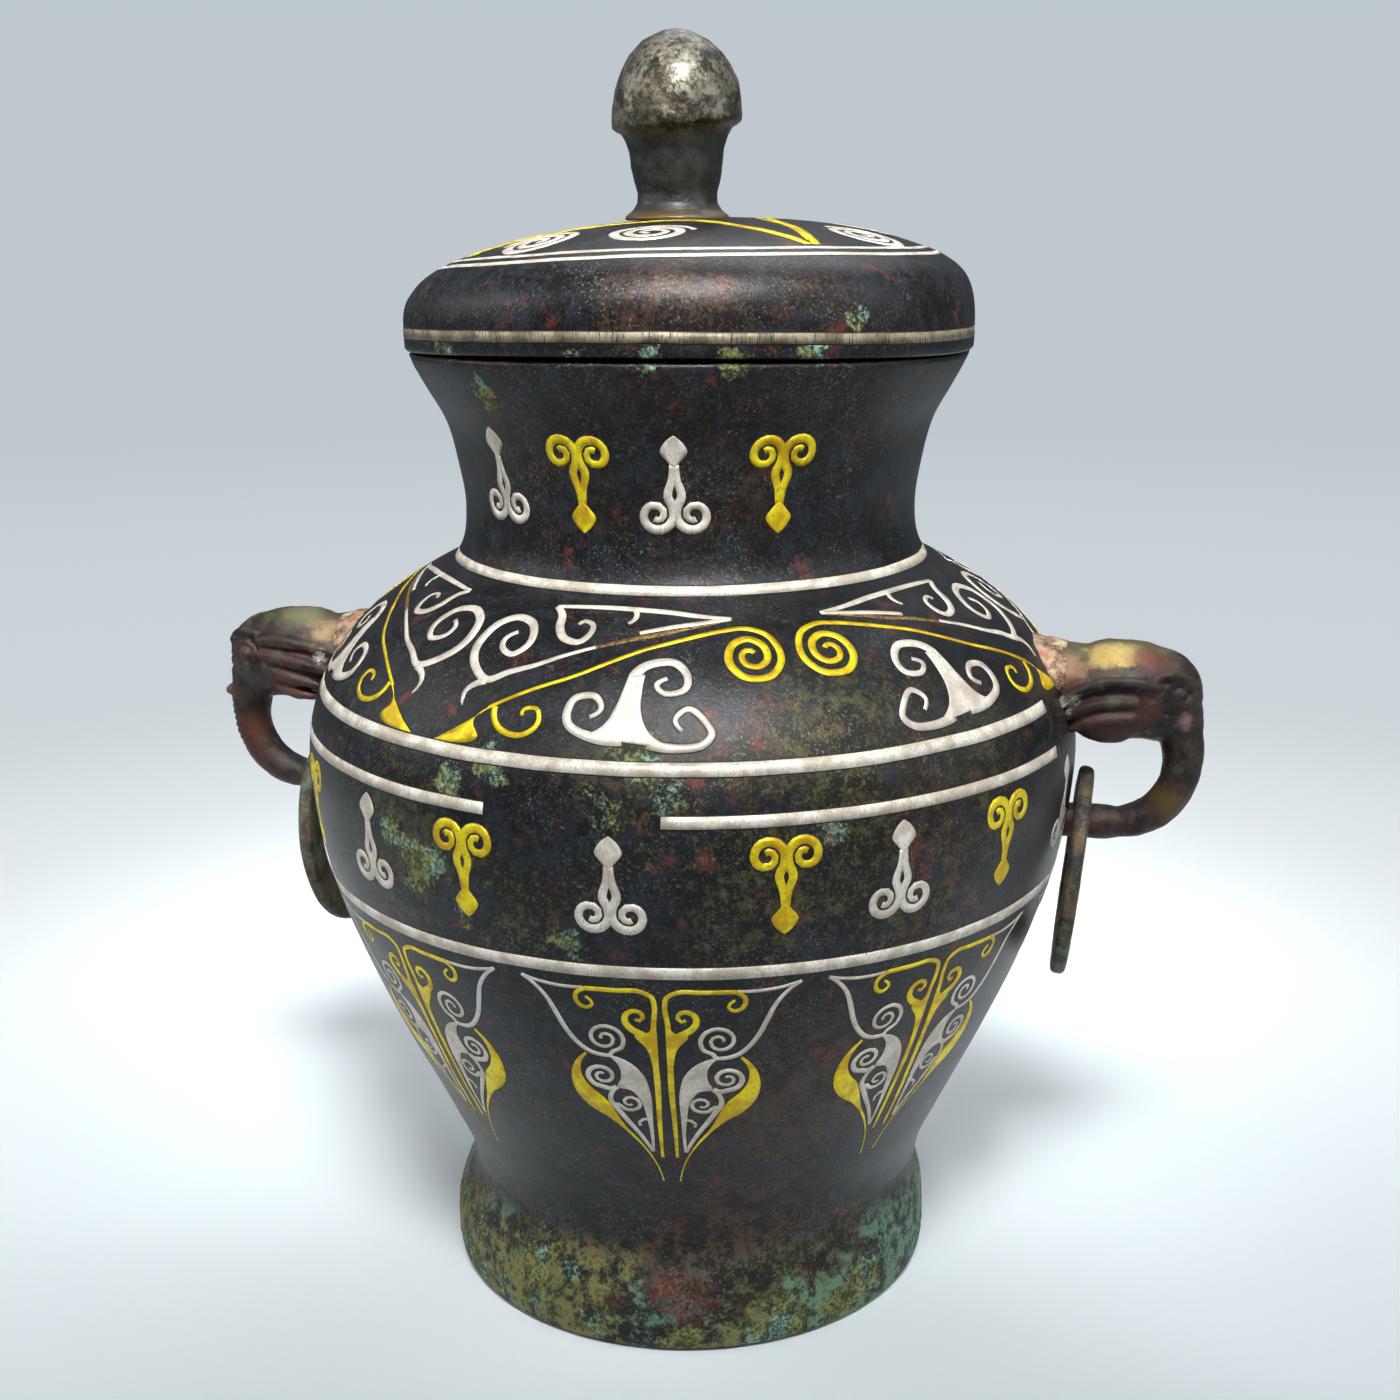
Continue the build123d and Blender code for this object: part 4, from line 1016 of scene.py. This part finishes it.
def handleBronze(name, side, stainsAndPaintedHighlight, paleWearAndPaintedHighlight):
    # side turns the stains, and a painted highlight on the right head's top, to their own handle; the bright spots are
    # worn pale metal with a painted highlight on the ear's top edge
    f = Finish(name)
    wide, medium = f.cloud(15, 5.0, 0.6), f.cloud(5, 6.0, 0.65, shift=(9, 2, 4))
    fine, grain = f.cloud(1.1, 5.0, 0.65), f.cloud(0.4, 3.0, 0.6)
    tall = f.height()
    base = f.colour(f.step(medium, 0.38, 0.62), tint(24, 22, 22), tint(62, 50, 44))
    base = f.colour(f.step(wide, 0.5, 0.62) * 0.65, base, tint(80, 46, 38))
    top = f.step(tall + medium * 5.0, 176.5, 180.0)
    base = f.colour(top * 0.8, base, f.colour(f.step(medium, 0.42, 0.6), tint(52, 56, 38), tint(98, 94, 62)))
    green = f.step(f.cloud(6, 5.0, 0.7, shift=(70, 7, 1)), 0.58, 0.68)
    base = f.colour(green * 0.6, base, tint(72, 92, 66))
    # stains, and on the right head's top two yellow spots that are a painted highlight
    for spot, radius, shade in stainsAndPaintedHighlight:
        patch = f.near((side * spot[0], side * spot[1], spot[2]), radius, radius * 0.6, medium)
        base = f.colour(patch * (medium + fine) * 0.75, base, tint(*shade))
    # edges and ridges are lightened by their pointiness: wear, and a painted highlight along them
    worn = f.node("NewGeometry", out="Pointiness")
    edges = f.step(worn + fine * 0.03, 0.535, 0.585)
    base = f.colour(edges * 0.4, base, tint(140, 128, 112))
    metal = 0.4 + edges * 0.2
    # near-white spots on the ear's top edge: worn pale metal and a painted highlight
    for spot, radius in paleWearAndPaintedHighlight:
        patch = f.near((side * spot[0], side * spot[1], spot[2]), radius, radius * 0.5, fine)
        base = f.colour(patch * 0.9, base, tint(205, 200, 188))
    relief = medium * 1.0 + fine * 1.0 + grain * 0.3
    return f.done(base, 0.36 + fine * 0.26 + green * 0.15, metal, relief, depth=0.26)


def solderMetal():
    f = Finish("solderMetal")
    medium, fine = f.cloud(3.2, 6.0, 0.65), f.cloud(0.9, 5.0, 0.65)
    base = f.colour(f.step(medium, 0.36, 0.62), tint(84, 64, 50), tint(182, 152, 122))
    base = f.colour(f.step(f.cloud(4, 4.0, 0.6, shift=(5, 8, 50)), 0.55, 0.66) * 0.6, base, tint(160, 92, 74))
    base = f.colour(f.step(f.cloud(5, 4.0, 0.6, shift=(50, 8, 5)), 0.56, 0.68) * 0.7, base, tint(214, 196, 164))
    base = f.colour(f.step(fine, 0.56, 0.66) * 0.35, base, tint(56, 44, 34))
    return f.done(base, 0.4 + fine * 0.3, 0.35, medium * 1.4 + fine * 0.5, depth=0.25)


def tube(bm, stations, around=22, cap=0.55):
    # a closed tube with rounded ends; stations give place, half width across y and half thickness
    path = smoothLine([station[:3] for station in stations], 1.0)
    last = len(path) - 1
    running, marks = [0.0], []
    for before, after in zip(path, path[1:]):
        running.append(running[-1] + (after - before).length)
    for station in stations:
        nearest = min(range(last + 1), key=lambda index: (path[index] - Vector(station[:3])).length)
        marks.append(running[nearest])
    made = bmesh.ops.create_grid(bm, x_segments=around, y_segments=last + 6, size=1.0)
    for vertex in made["verts"]:
        angle = pi * (vertex.co.x + 1)
        row = round((vertex.co.y + 1) / 2 * (last + 6)) - 3
        at = min(max(row, 0), last)
        along = running[at]
        low = max(index for index, mark in enumerate(marks) if mark <= along + 0.001)
        high = min(low + 1, len(marks) - 1)
        share = (along - marks[low]) / max(marks[high] - marks[low], 0.001) if high > low else 0.0
        share = share * share * (3 - 2 * share)
        half = [stations[low][axis] + (stations[high][axis] - stations[low][axis]) * share for axis in (3, 4)]
        way = (path[min(at + 1, last)] - path[max(at - 1, 0)]).normalized()
        beyond = (0 if row == at else (row - at)) / 3
        shrink = cos(abs(beyond) * pi / 2)
        across = (Vector((0, 1, 0)) - way * way.y).normalized()
        spot = path[at] + way * sin(beyond * pi / 2) * min(half) * cap
        spot += (across * cos(angle) * half[0] + way.cross(across) * sin(angle) * half[1]) * max(shrink, 0.0001)
        vertex.co = spot
    bmesh.ops.remove_doubles(bm, verts=made["verts"], dist=0.02)


def blob(bm, centre, halves, turnY=0.0):
    matrix = Matrix.Translation(centre) @ Matrix.Rotation(radians(turnY), 4, "Y") @ Matrix.Diagonal((*halves, 1.0))
    bmesh.ops.create_icosphere(bm, subdivisions=3, radius=1.0, matrix=matrix)


def bothSides(stations):
    # the same stations on the near and the far side of the head
    return [stations, [(x, -y, z, *rest) for x, y, z, *rest in stations]]


def chase(bm, line, width, depth):
    # presses a groove along a line, or raises a ridge where the depth is below zero
    path = smoothLine(line, 0.5)
    low = Vector([min(spot[axis] for spot in path) - width for axis in range(3)])
    high = Vector([max(spot[axis] for spot in path) + width for axis in range(3)])
    moves = []
    for vertex in bm.verts:
        place = vertex.co
        if low.x < place.x < high.x and low.y < place.y < high.y and low.z < place.z < high.z:
            gap = min((place - spot).length for spot in path)
            if gap < width:
                moves.append((vertex, vertex.normal * depth * (0.5 + 0.5 * cos(pi * gap / width))))
    for vertex, move in moves:
        vertex.co -= move


head = {
    "skull": [(90, 0, 168.5, 10, 8), (97, 0, 169.4, 10.8, 8.6), (103, 0, 167, 12.4, 11.4), (110, 0, 166.2, 13.2, 12.8),
              (117, 0, 165.9, 12.8, 12.8), (123, 0, 164.8, 11.4, 12)],
    "forehead": ((123, 0, 165), (11.2, 11, 12.2)),
    "trunk": [(126.4, 0, 163, 9.0, 7.4), (129.4, 0, 153.5, 6.8, 5.6), (129.9, 0, 146, 5.6, 5.1), (128.2, 0, 139.8, 5.2, 4.9),
              (124.4, 0, 134.4, 5.0, 4.8), (118.4, 0, 130.9, 4.8, 4.5), (114.6, 0, 130.0, 4.1, 4.0),
              (111.5, 0, 129.8, 4.6, 4.6), (104.6, 0, 129.8, 4.6, 4.6), (100, 0, 129.8, 4.6, 4.6)],
    "voxel": 0.45,
    "rightSoft": [
        [(98, 12.2, 163.6, 1.2, 1.2), (102, 13.4, 167.6, 1.5, 1.5), (110, 14.0, 170.8, 1.6, 1.6),
         (118, 12.9, 170.8, 1.4, 1.4), (122.5, 11.2, 169.4, 1.0, 1.0)],
        [(99.5, 11.6, 160.6, 1.2, 1.2), (107, 13.2, 164.6, 1.5, 1.5), (117, 12.6, 165.4, 1.2, 1.2)],
        [(101.5, 11.2, 157.6, 1.1, 1.1), (108.5, 12.8, 160.6, 1.5, 1.5), (116.5, 12.0, 161.4, 1.2, 1.2)],
        [(121.5, 10.0, 171.4, 1.4, 1.4), (126.6, 9.2, 172.4, 1.6, 1.6), (131.4, 6.4, 169.6, 1.2, 1.2)],
    ],
    "rightGrooves": [
        ([(100.4, 14.2, 164.6), (105, 15.4, 167.8), (111, 15.6, 168.8), (118, 14.4, 168.4), (121.4, 12.8, 166.6)], 1.9, 1.5),
        ([(101.6, 13.6, 160.4), (108, 14.8, 162.7), (116.4, 14.0, 163.3)], 1.3, 0.8),
        ([(103, 13, 156.6), (109, 13.8, 158.6), (116, 13.2, 159.4)], 1.3, 0.7),
        ([(124.6, 10.6, 162.4), (128.6, 9.8, 160.8), (133.0, 6.4, 159.2)], 1.0, 0.9),
        ([(124.8, 10.2, 160.4), (128.2, 9.4, 158.9), (132.0, 6.6, 157.6)], 0.8, -0.45),
    ],
    "leftSoft": [
        [(121.5, 10.6, 171.0, 1.5, 1.5), (113, 12.8, 171.6, 2.0, 2.0), (104, 12.0, 170.0, 1.5, 1.5), (98.6, 10.8, 168.6, 1, 1)],
        [(120.6, 11.6, 167.4, 1.5, 1.5), (112, 13.2, 166.6, 2.1, 2.1), (104, 12.6, 164.6, 1.7, 1.7), (99.4, 11, 163, 1, 1)],
        [(119.2, 11.4, 163.4, 1.4, 1.4), (112, 12.8, 161.8, 2.0, 2.0), (105, 12.0, 159.8, 1.5, 1.5), (101, 10.8, 158.4, 1, 1)],
        [(117.4, 9.8, 159.4, 1.4, 1.4), (111, 11.2, 157.2, 1.9, 1.9), (105.6, 10.4, 156, 1.2, 1.2)],
        [(122.6, 9.4, 172.6, 1.3, 1.3), (128, 7.4, 172.6, 1.5, 1.5), (132.4, 4.0, 169.6, 1.0, 1.0)],
    ],
    "leftGrooves": [
        ([(123.2, 11.4, 170.8), (121.9, 12.4, 167.6), (122.4, 12.0, 164.4)], 1.5, 1.3),
        ([(120, 13, 169.3), (112, 14.8, 169.2), (103, 13.6, 167.4)], 1.0, 0.9),
        ([(119, 13.2, 165.4), (112, 14.8, 164.2), (103, 13.4, 162.2)], 1.0, 0.9),
        ([(118, 12.8, 161.2), (111, 14, 159.5), (104.5, 12.6, 157.9)], 1.0, 0.9),
        ([(129.6, 8.4, 166.0), (132.4, 5.6, 165.2), (134.4, 2.2, 165.0)], 0.9, 0.5),
        ([(129.2, 8.6, 163.4), (132.2, 6.0, 162.4), (134.4, 2.2, 162.0)], 0.9, 0.5),
    ],
    "rightEye": ((127.9, 8.4, 167.6), 2.0), "leftEye": ((125.4, 9.4, 167.4), 2.7),
    "eyeRing": {"right": (3.7, 2.9, 0.75), "left": (3.6, 3.2, 0.6)},
    "tusk": ((134.4, 0, 154.4), (2.6, 4.6, 1.7)),
}


def elephantHandle(title, side):
    bm = bmesh.new()
    tube(bm, head["skull"], 32)
    blob(bm, *head["forehead"])
    tube(bm, head["trunk"], 28)
    if title == "left":
        blob(bm, *head["tusk"])
    else:
        blob(bm, (109, 8.4, 161.4), (10.4, 4.6, 7.6), 14)
        blob(bm, (109, -8.4, 161.4), (10.4, 4.6, 7.6), 14)
    for stations in head[title + "Soft"]:
        for part in bothSides(stations):
            tube(bm, part, 14, 0.9)
    (eyeX, eyeY, eyeZ), eyeRadius = head[title + "Eye"]
    wide, high, thick = head["eyeRing"][title]
    for way in (1, -1):
        blob(bm, (eyeX, way * eyeY, eyeZ), (eyeRadius, eyeRadius * 0.9, eyeRadius * 0.85))
        loop = []
        for step in range(15):
            angle = 2 * pi * step / 14
            out = eyeY + 0.7 - 0.34 * wide * cos(angle)
            loop.append((eyeX + wide * cos(angle), way * out, eyeZ + high * sin(angle), thick, thick))
        tube(bm, loop, 10, 0.5)
    bmesh.ops.recalc_face_normals(bm, faces=bm.faces)
    rawMesh = bpy.data.meshes.new(title + "Rough")
    bm.to_mesh(rawMesh)
    bm.free()
    raw = bpy.data.objects.new(title + "Rough", rawMesh)
    bpy.context.scene.collection.objects.link(raw)
    fuse = raw.modifiers.new("fuse", "REMESH")
    fuse.mode, fuse.voxel_size, fuse.adaptivity = "VOXEL", head["voxel"], 0.0
    fused = bpy.data.meshes.new_from_object(raw.evaluated_get(bpy.context.evaluated_depsgraph_get()))
    bpy.data.objects.remove(raw)
    bm = bmesh.new()
    bm.from_mesh(fused)
    bpy.data.meshes.remove(fused)
    for _ in range(5):
        bmesh.ops.smooth_vert(bm, verts=bm.verts, factor=0.5, use_axis_x=True, use_axis_y=True, use_axis_z=True)
    bm.normal_update()
    for line, width, depth in head[title + "Grooves"]:
        for way in (1, -1):
            chase(bm, [(x, way * y, z) for x, y, z in line], width, depth)
    if title == "left":
        for number in range(9):   # folds across the outer side of the trunk
            tall = 151.0 - 1.9 * number
            out = 135.2 - 0.012 * (151 - tall) ** 2
            chase(bm, [(out - 2, -4.5, tall - 0.4), (out, 0, tall), (out - 2, 4.5, tall - 0.4)], 1.0, 0.42)
    bm.normal_update()
    for vertex in bm.verts:
        place = vertex.co.copy()
        lump = noise.fractal(place / 4.0 + Vector((side * 9, 0, 0)), 0.8, 2.0, 4)
        vertex.co += vertex.normal * lump * 0.16
        reach = hypot(vertex.co.x, vertex.co.y)
        floorReach = bellySide.spot(bellySide.atHeight(max(120.0, min(188.0, vertex.co.z))))[0].x - 1.4
        if reach < floorReach:
            vertex.co.x *= floorReach / reach
            vertex.co.y *= floorReach / reach
    turn = Matrix.Rotation(0 if side > 0 else pi, 4, "Z") @ Matrix.Scale(mm, 4)
    bmesh.ops.transform(bm, matrix=turn, verts=bm.verts)
    return bm


def solderCollar(side):
    # lumpy metal that fairs a handle's root into the shoulder
    bm = bmesh.new()
    made = bmesh.ops.create_grid(bm, x_segments=72, y_segments=22, size=1.0)
    for vertex in made["verts"]:
        angle, along = pi * (vertex.co.x + 1), (vertex.co.y + 1) / 2
        swell = 1 + 0.06 * noise.fractal(Vector((cos(angle) * 1.6, sin(angle) * 1.6, along * 3 + side * 4)), 0.8, 2.0, 4)
        wide, high = (14.8 - 4.2 * along) * swell, (11.0 - 2.8 * along) * swell
        if along > 0.93:
            wide, high = wide * 0.86, high * 0.86
        place = Vector((88 + 12.5 * along, wide * cos(angle), 168.6 + along + high * sin(angle)))
        edge = bellySide.spot(bellySide.atHeight(max(120.0, min(188.0, place.z))))[0].x
        reach = hypot(place.x, place.y)
        if reach < edge - 1.2:
            place.x, place.y = place.x * (edge - 1.2) / reach, place.y * (edge - 1.2) / reach
        vertex.co = place
    bmesh.ops.remove_doubles(bm, verts=bm.verts, dist=0.01)
    bmesh.ops.recalc_face_normals(bm, faces=bm.faces)
    turn = Matrix.Rotation(0 if side > 0 else pi, 4, "Z") @ Matrix.Scale(mm, 4)
    bmesh.ops.transform(bm, matrix=turn, verts=bm.verts)
    return bm


handleFinishes = {
    "right": handleBronze("rightHandleBronze", 1, [
        # the first two yellow spots, on the top of the head, are a painted highlight; the others are stains
        ((109, -7, 177), 5, (196, 168, 96)), ((114, -6, 178), 4, (184, 160, 92)), ((119, -6, 176), 3.5, (112, 58, 46)),
        ((101, -9, 174), 4, (140, 108, 80)), ((110, -11, 156), 8, (70, 42, 34)), ((127, -3, 138), 4, (92, 80, 40)),
        ((130, -8.5, 160.0), 2.0, (150, 118, 108)),
    # the near-white spots on the ear's top edge are worn pale metal and a painted highlight
    ], [((99.5, -13.2, 164.6), 2.0), ((102, -13.8, 166.0), 1.4)]),
    "left": handleBronze("leftHandleBronze", -1, [
        ((110, 4, 178), 5, (128, 124, 92)), ((112, 11, 158), 5, (104, 64, 50)), ((126, 4, 144), 3.5, (104, 58, 42)),
        ((102, 8, 174), 4, (170, 142, 104)), ((134, 3, 155), 3, (112, 80, 60)),
    ], [((102.5, 12.4, 168.0), 1.4)]),
}
solderFinish = solderMetal()
for side, title in ((1, "right"), (-1, "left")):
    bm = elephantHandle(title, side)
    addPiece(title + "ElephantHandle", bm, [handleFinishes[title]], "jar", [title + "_handle"])
    addPiece(title + "HandleSolder", solderCollar(side), [solderFinish], "jar", [title + "_handle_solder"])
print("handles made")

# ---- floor, light and camera

def floorWithPaintedShade():
    f = Finish("paleFloorPaintedShade")
    # the floor's colour is painted in rings: darker close round the foot, where the jar's shade falls, then darker
    # again further out, where the lamps' light falls off
    away = f.node("VectorMath", {"operation": "LENGTH"}, {0: f.place}, out="Value")
    near = f.colour(f.step(away, 150.0, 330.0), tint(226, 234, 238), tint(236, 242, 245))
    far = f.colour(f.step(away, 300.0, 720.0), near, tint(204, 212, 217))
    shadedPaint = f.colour(f.step(away, 700.0, 2300.0), far, tint(191, 200, 206))
    lit = f.node("BsdfPrincipled", {}, {"Base Color": shadedPaint, "Roughness": 0.8, "Specular IOR Level": 0.1})
    # beyond about 240 to 520 mm from the axis the camera sees this painted colour glowing by itself instead of lit
    paintedGlow = f.node("Emission", {}, {"Color": shadedPaint, "Strength": 1.0})
    path = f.node("LightPath")
    camera = path.socket.node
    seen = Wire(f, camera.outputs["Is Camera Ray"])
    mixed = f.node("MixShader", {}, {0: seen * f.step(away, 240.0, 520.0), 1: lit, 2: paintedGlow})
    f.node("OutputMaterial", {}, {"Surface": mixed})
    return f.material


bm = bmesh.new()
bmesh.ops.create_circle(bm, cap_ends=True, radius=40.0, segments=96)
bmesh.ops.translate(bm, verts=bm.verts, vec=(0, 0, -0.0001))
floorMesh = bpy.data.meshes.new("floor")
bm.to_mesh(floorMesh)
bm.free()
floorMesh.materials.append(floorWithPaintedShade())
floor = bpy.data.objects.new("floor", floorMesh)
bpy.context.scene.collection.objects.link(floor)

studio = {
    "world": (0.80, 0.87, 0.94), "worldStrength": 0.16,
    "backdrop": tint(191, 200, 206),
    "lamps": [
        ("frontTop", (0.17, -0.62, 1.07), (0.40, 0.26), 1.15, (1.0, 1.0, 1.0), (0.0, 0.0, 0.31), 34),
        ("keyLeft", (-1.0, -0.25, 0.75), (0.8, 0.6), 4.0, (1.0, 0.99, 0.97), (0.0, 0.0, 0.17), 180),
        ("keyRight", (1.0, -0.15, 0.7), (0.7, 0.7), 3.3, (1.0, 0.99, 0.97), (0.0, 0.0, 0.17), 180),
        ("topBack", (0.05, 0.5, 1.1), (0.8, 0.5), 4.7, (0.97, 0.99, 1.0), (0.0, 0.0, 0.17), 180),
        ("frontFill", (0.25, -1.5, 0.35), (1.0, 0.7), 1.0, (1.0, 1.0, 1.0), (0.0, 0.0, 0.17), 180),
    ],
}
world = bpy.data.worlds.new("studio")
bpy.context.scene.world = world
world.use_nodes = True
nodes, links = world.node_tree.nodes, world.node_tree.links
nodes.clear()
softLight, backdrop = nodes.new("ShaderNodeBackground"), nodes.new("ShaderNodeBackground")
softLight.inputs["Color"].default_value = (*studio["world"], 1.0)
softLight.inputs["Strength"].default_value = studio["worldStrength"]
backdrop.inputs["Color"].default_value = studio["backdrop"]
rays, chosen, output = nodes.new("ShaderNodeLightPath"), nodes.new("ShaderNodeMixShader"), nodes.new("ShaderNodeOutputWorld")
links.new(rays.outputs["Is Camera Ray"], chosen.inputs[0])
links.new(softLight.outputs[0], chosen.inputs[1])
links.new(backdrop.outputs[0], chosen.inputs[2])
links.new(chosen.outputs[0], output.inputs["Surface"])
for name, place, size, power, colour, aim, spread in studio["lamps"]:
    lamp = bpy.data.lights.new(name, "AREA")
    lamp.shape, lamp.size, lamp.size_y = "RECTANGLE", *size
    lamp.energy, lamp.color, lamp.spread = power, colour, radians(spread)
    holder = bpy.data.objects.new(name, lamp)
    bpy.context.scene.collection.objects.link(holder)
    holder.location = place
    holder.rotation_euler = (Vector(aim) - Vector(place)).to_track_quat("-Z", "Y").to_euler()

photoView = {"place": (107.4, -474.9, 285.8), "azimuth": 12.5, "down": 14.78, "roll": -0.42, "lens": 47.57}
lens = bpy.data.cameras.new("camera")
lens.lens, lens.sensor_width, lens.clip_start, lens.clip_end = photoView["lens"], 36.0, 0.01, 100.0
camera = bpy.data.objects.new("camera", lens)
bpy.context.scene.collection.objects.link(camera)
azimuth, down = radians(photoView["azimuth"]), radians(photoView["down"])
look = Vector((-sin(azimuth) * cos(down), cos(azimuth) * cos(down), -sin(down)))
camera.location = Vector(photoView["place"]) * mm
turn = look.to_track_quat("-Z", "Y").to_matrix().to_4x4() @ Matrix.Rotation(radians(photoView["roll"]), 4, "Z")
camera.rotation_euler = turn.to_euler()
bpy.context.scene.camera = camera
bpy.context.scene.view_settings.view_transform = "Standard"
print("stage ready")
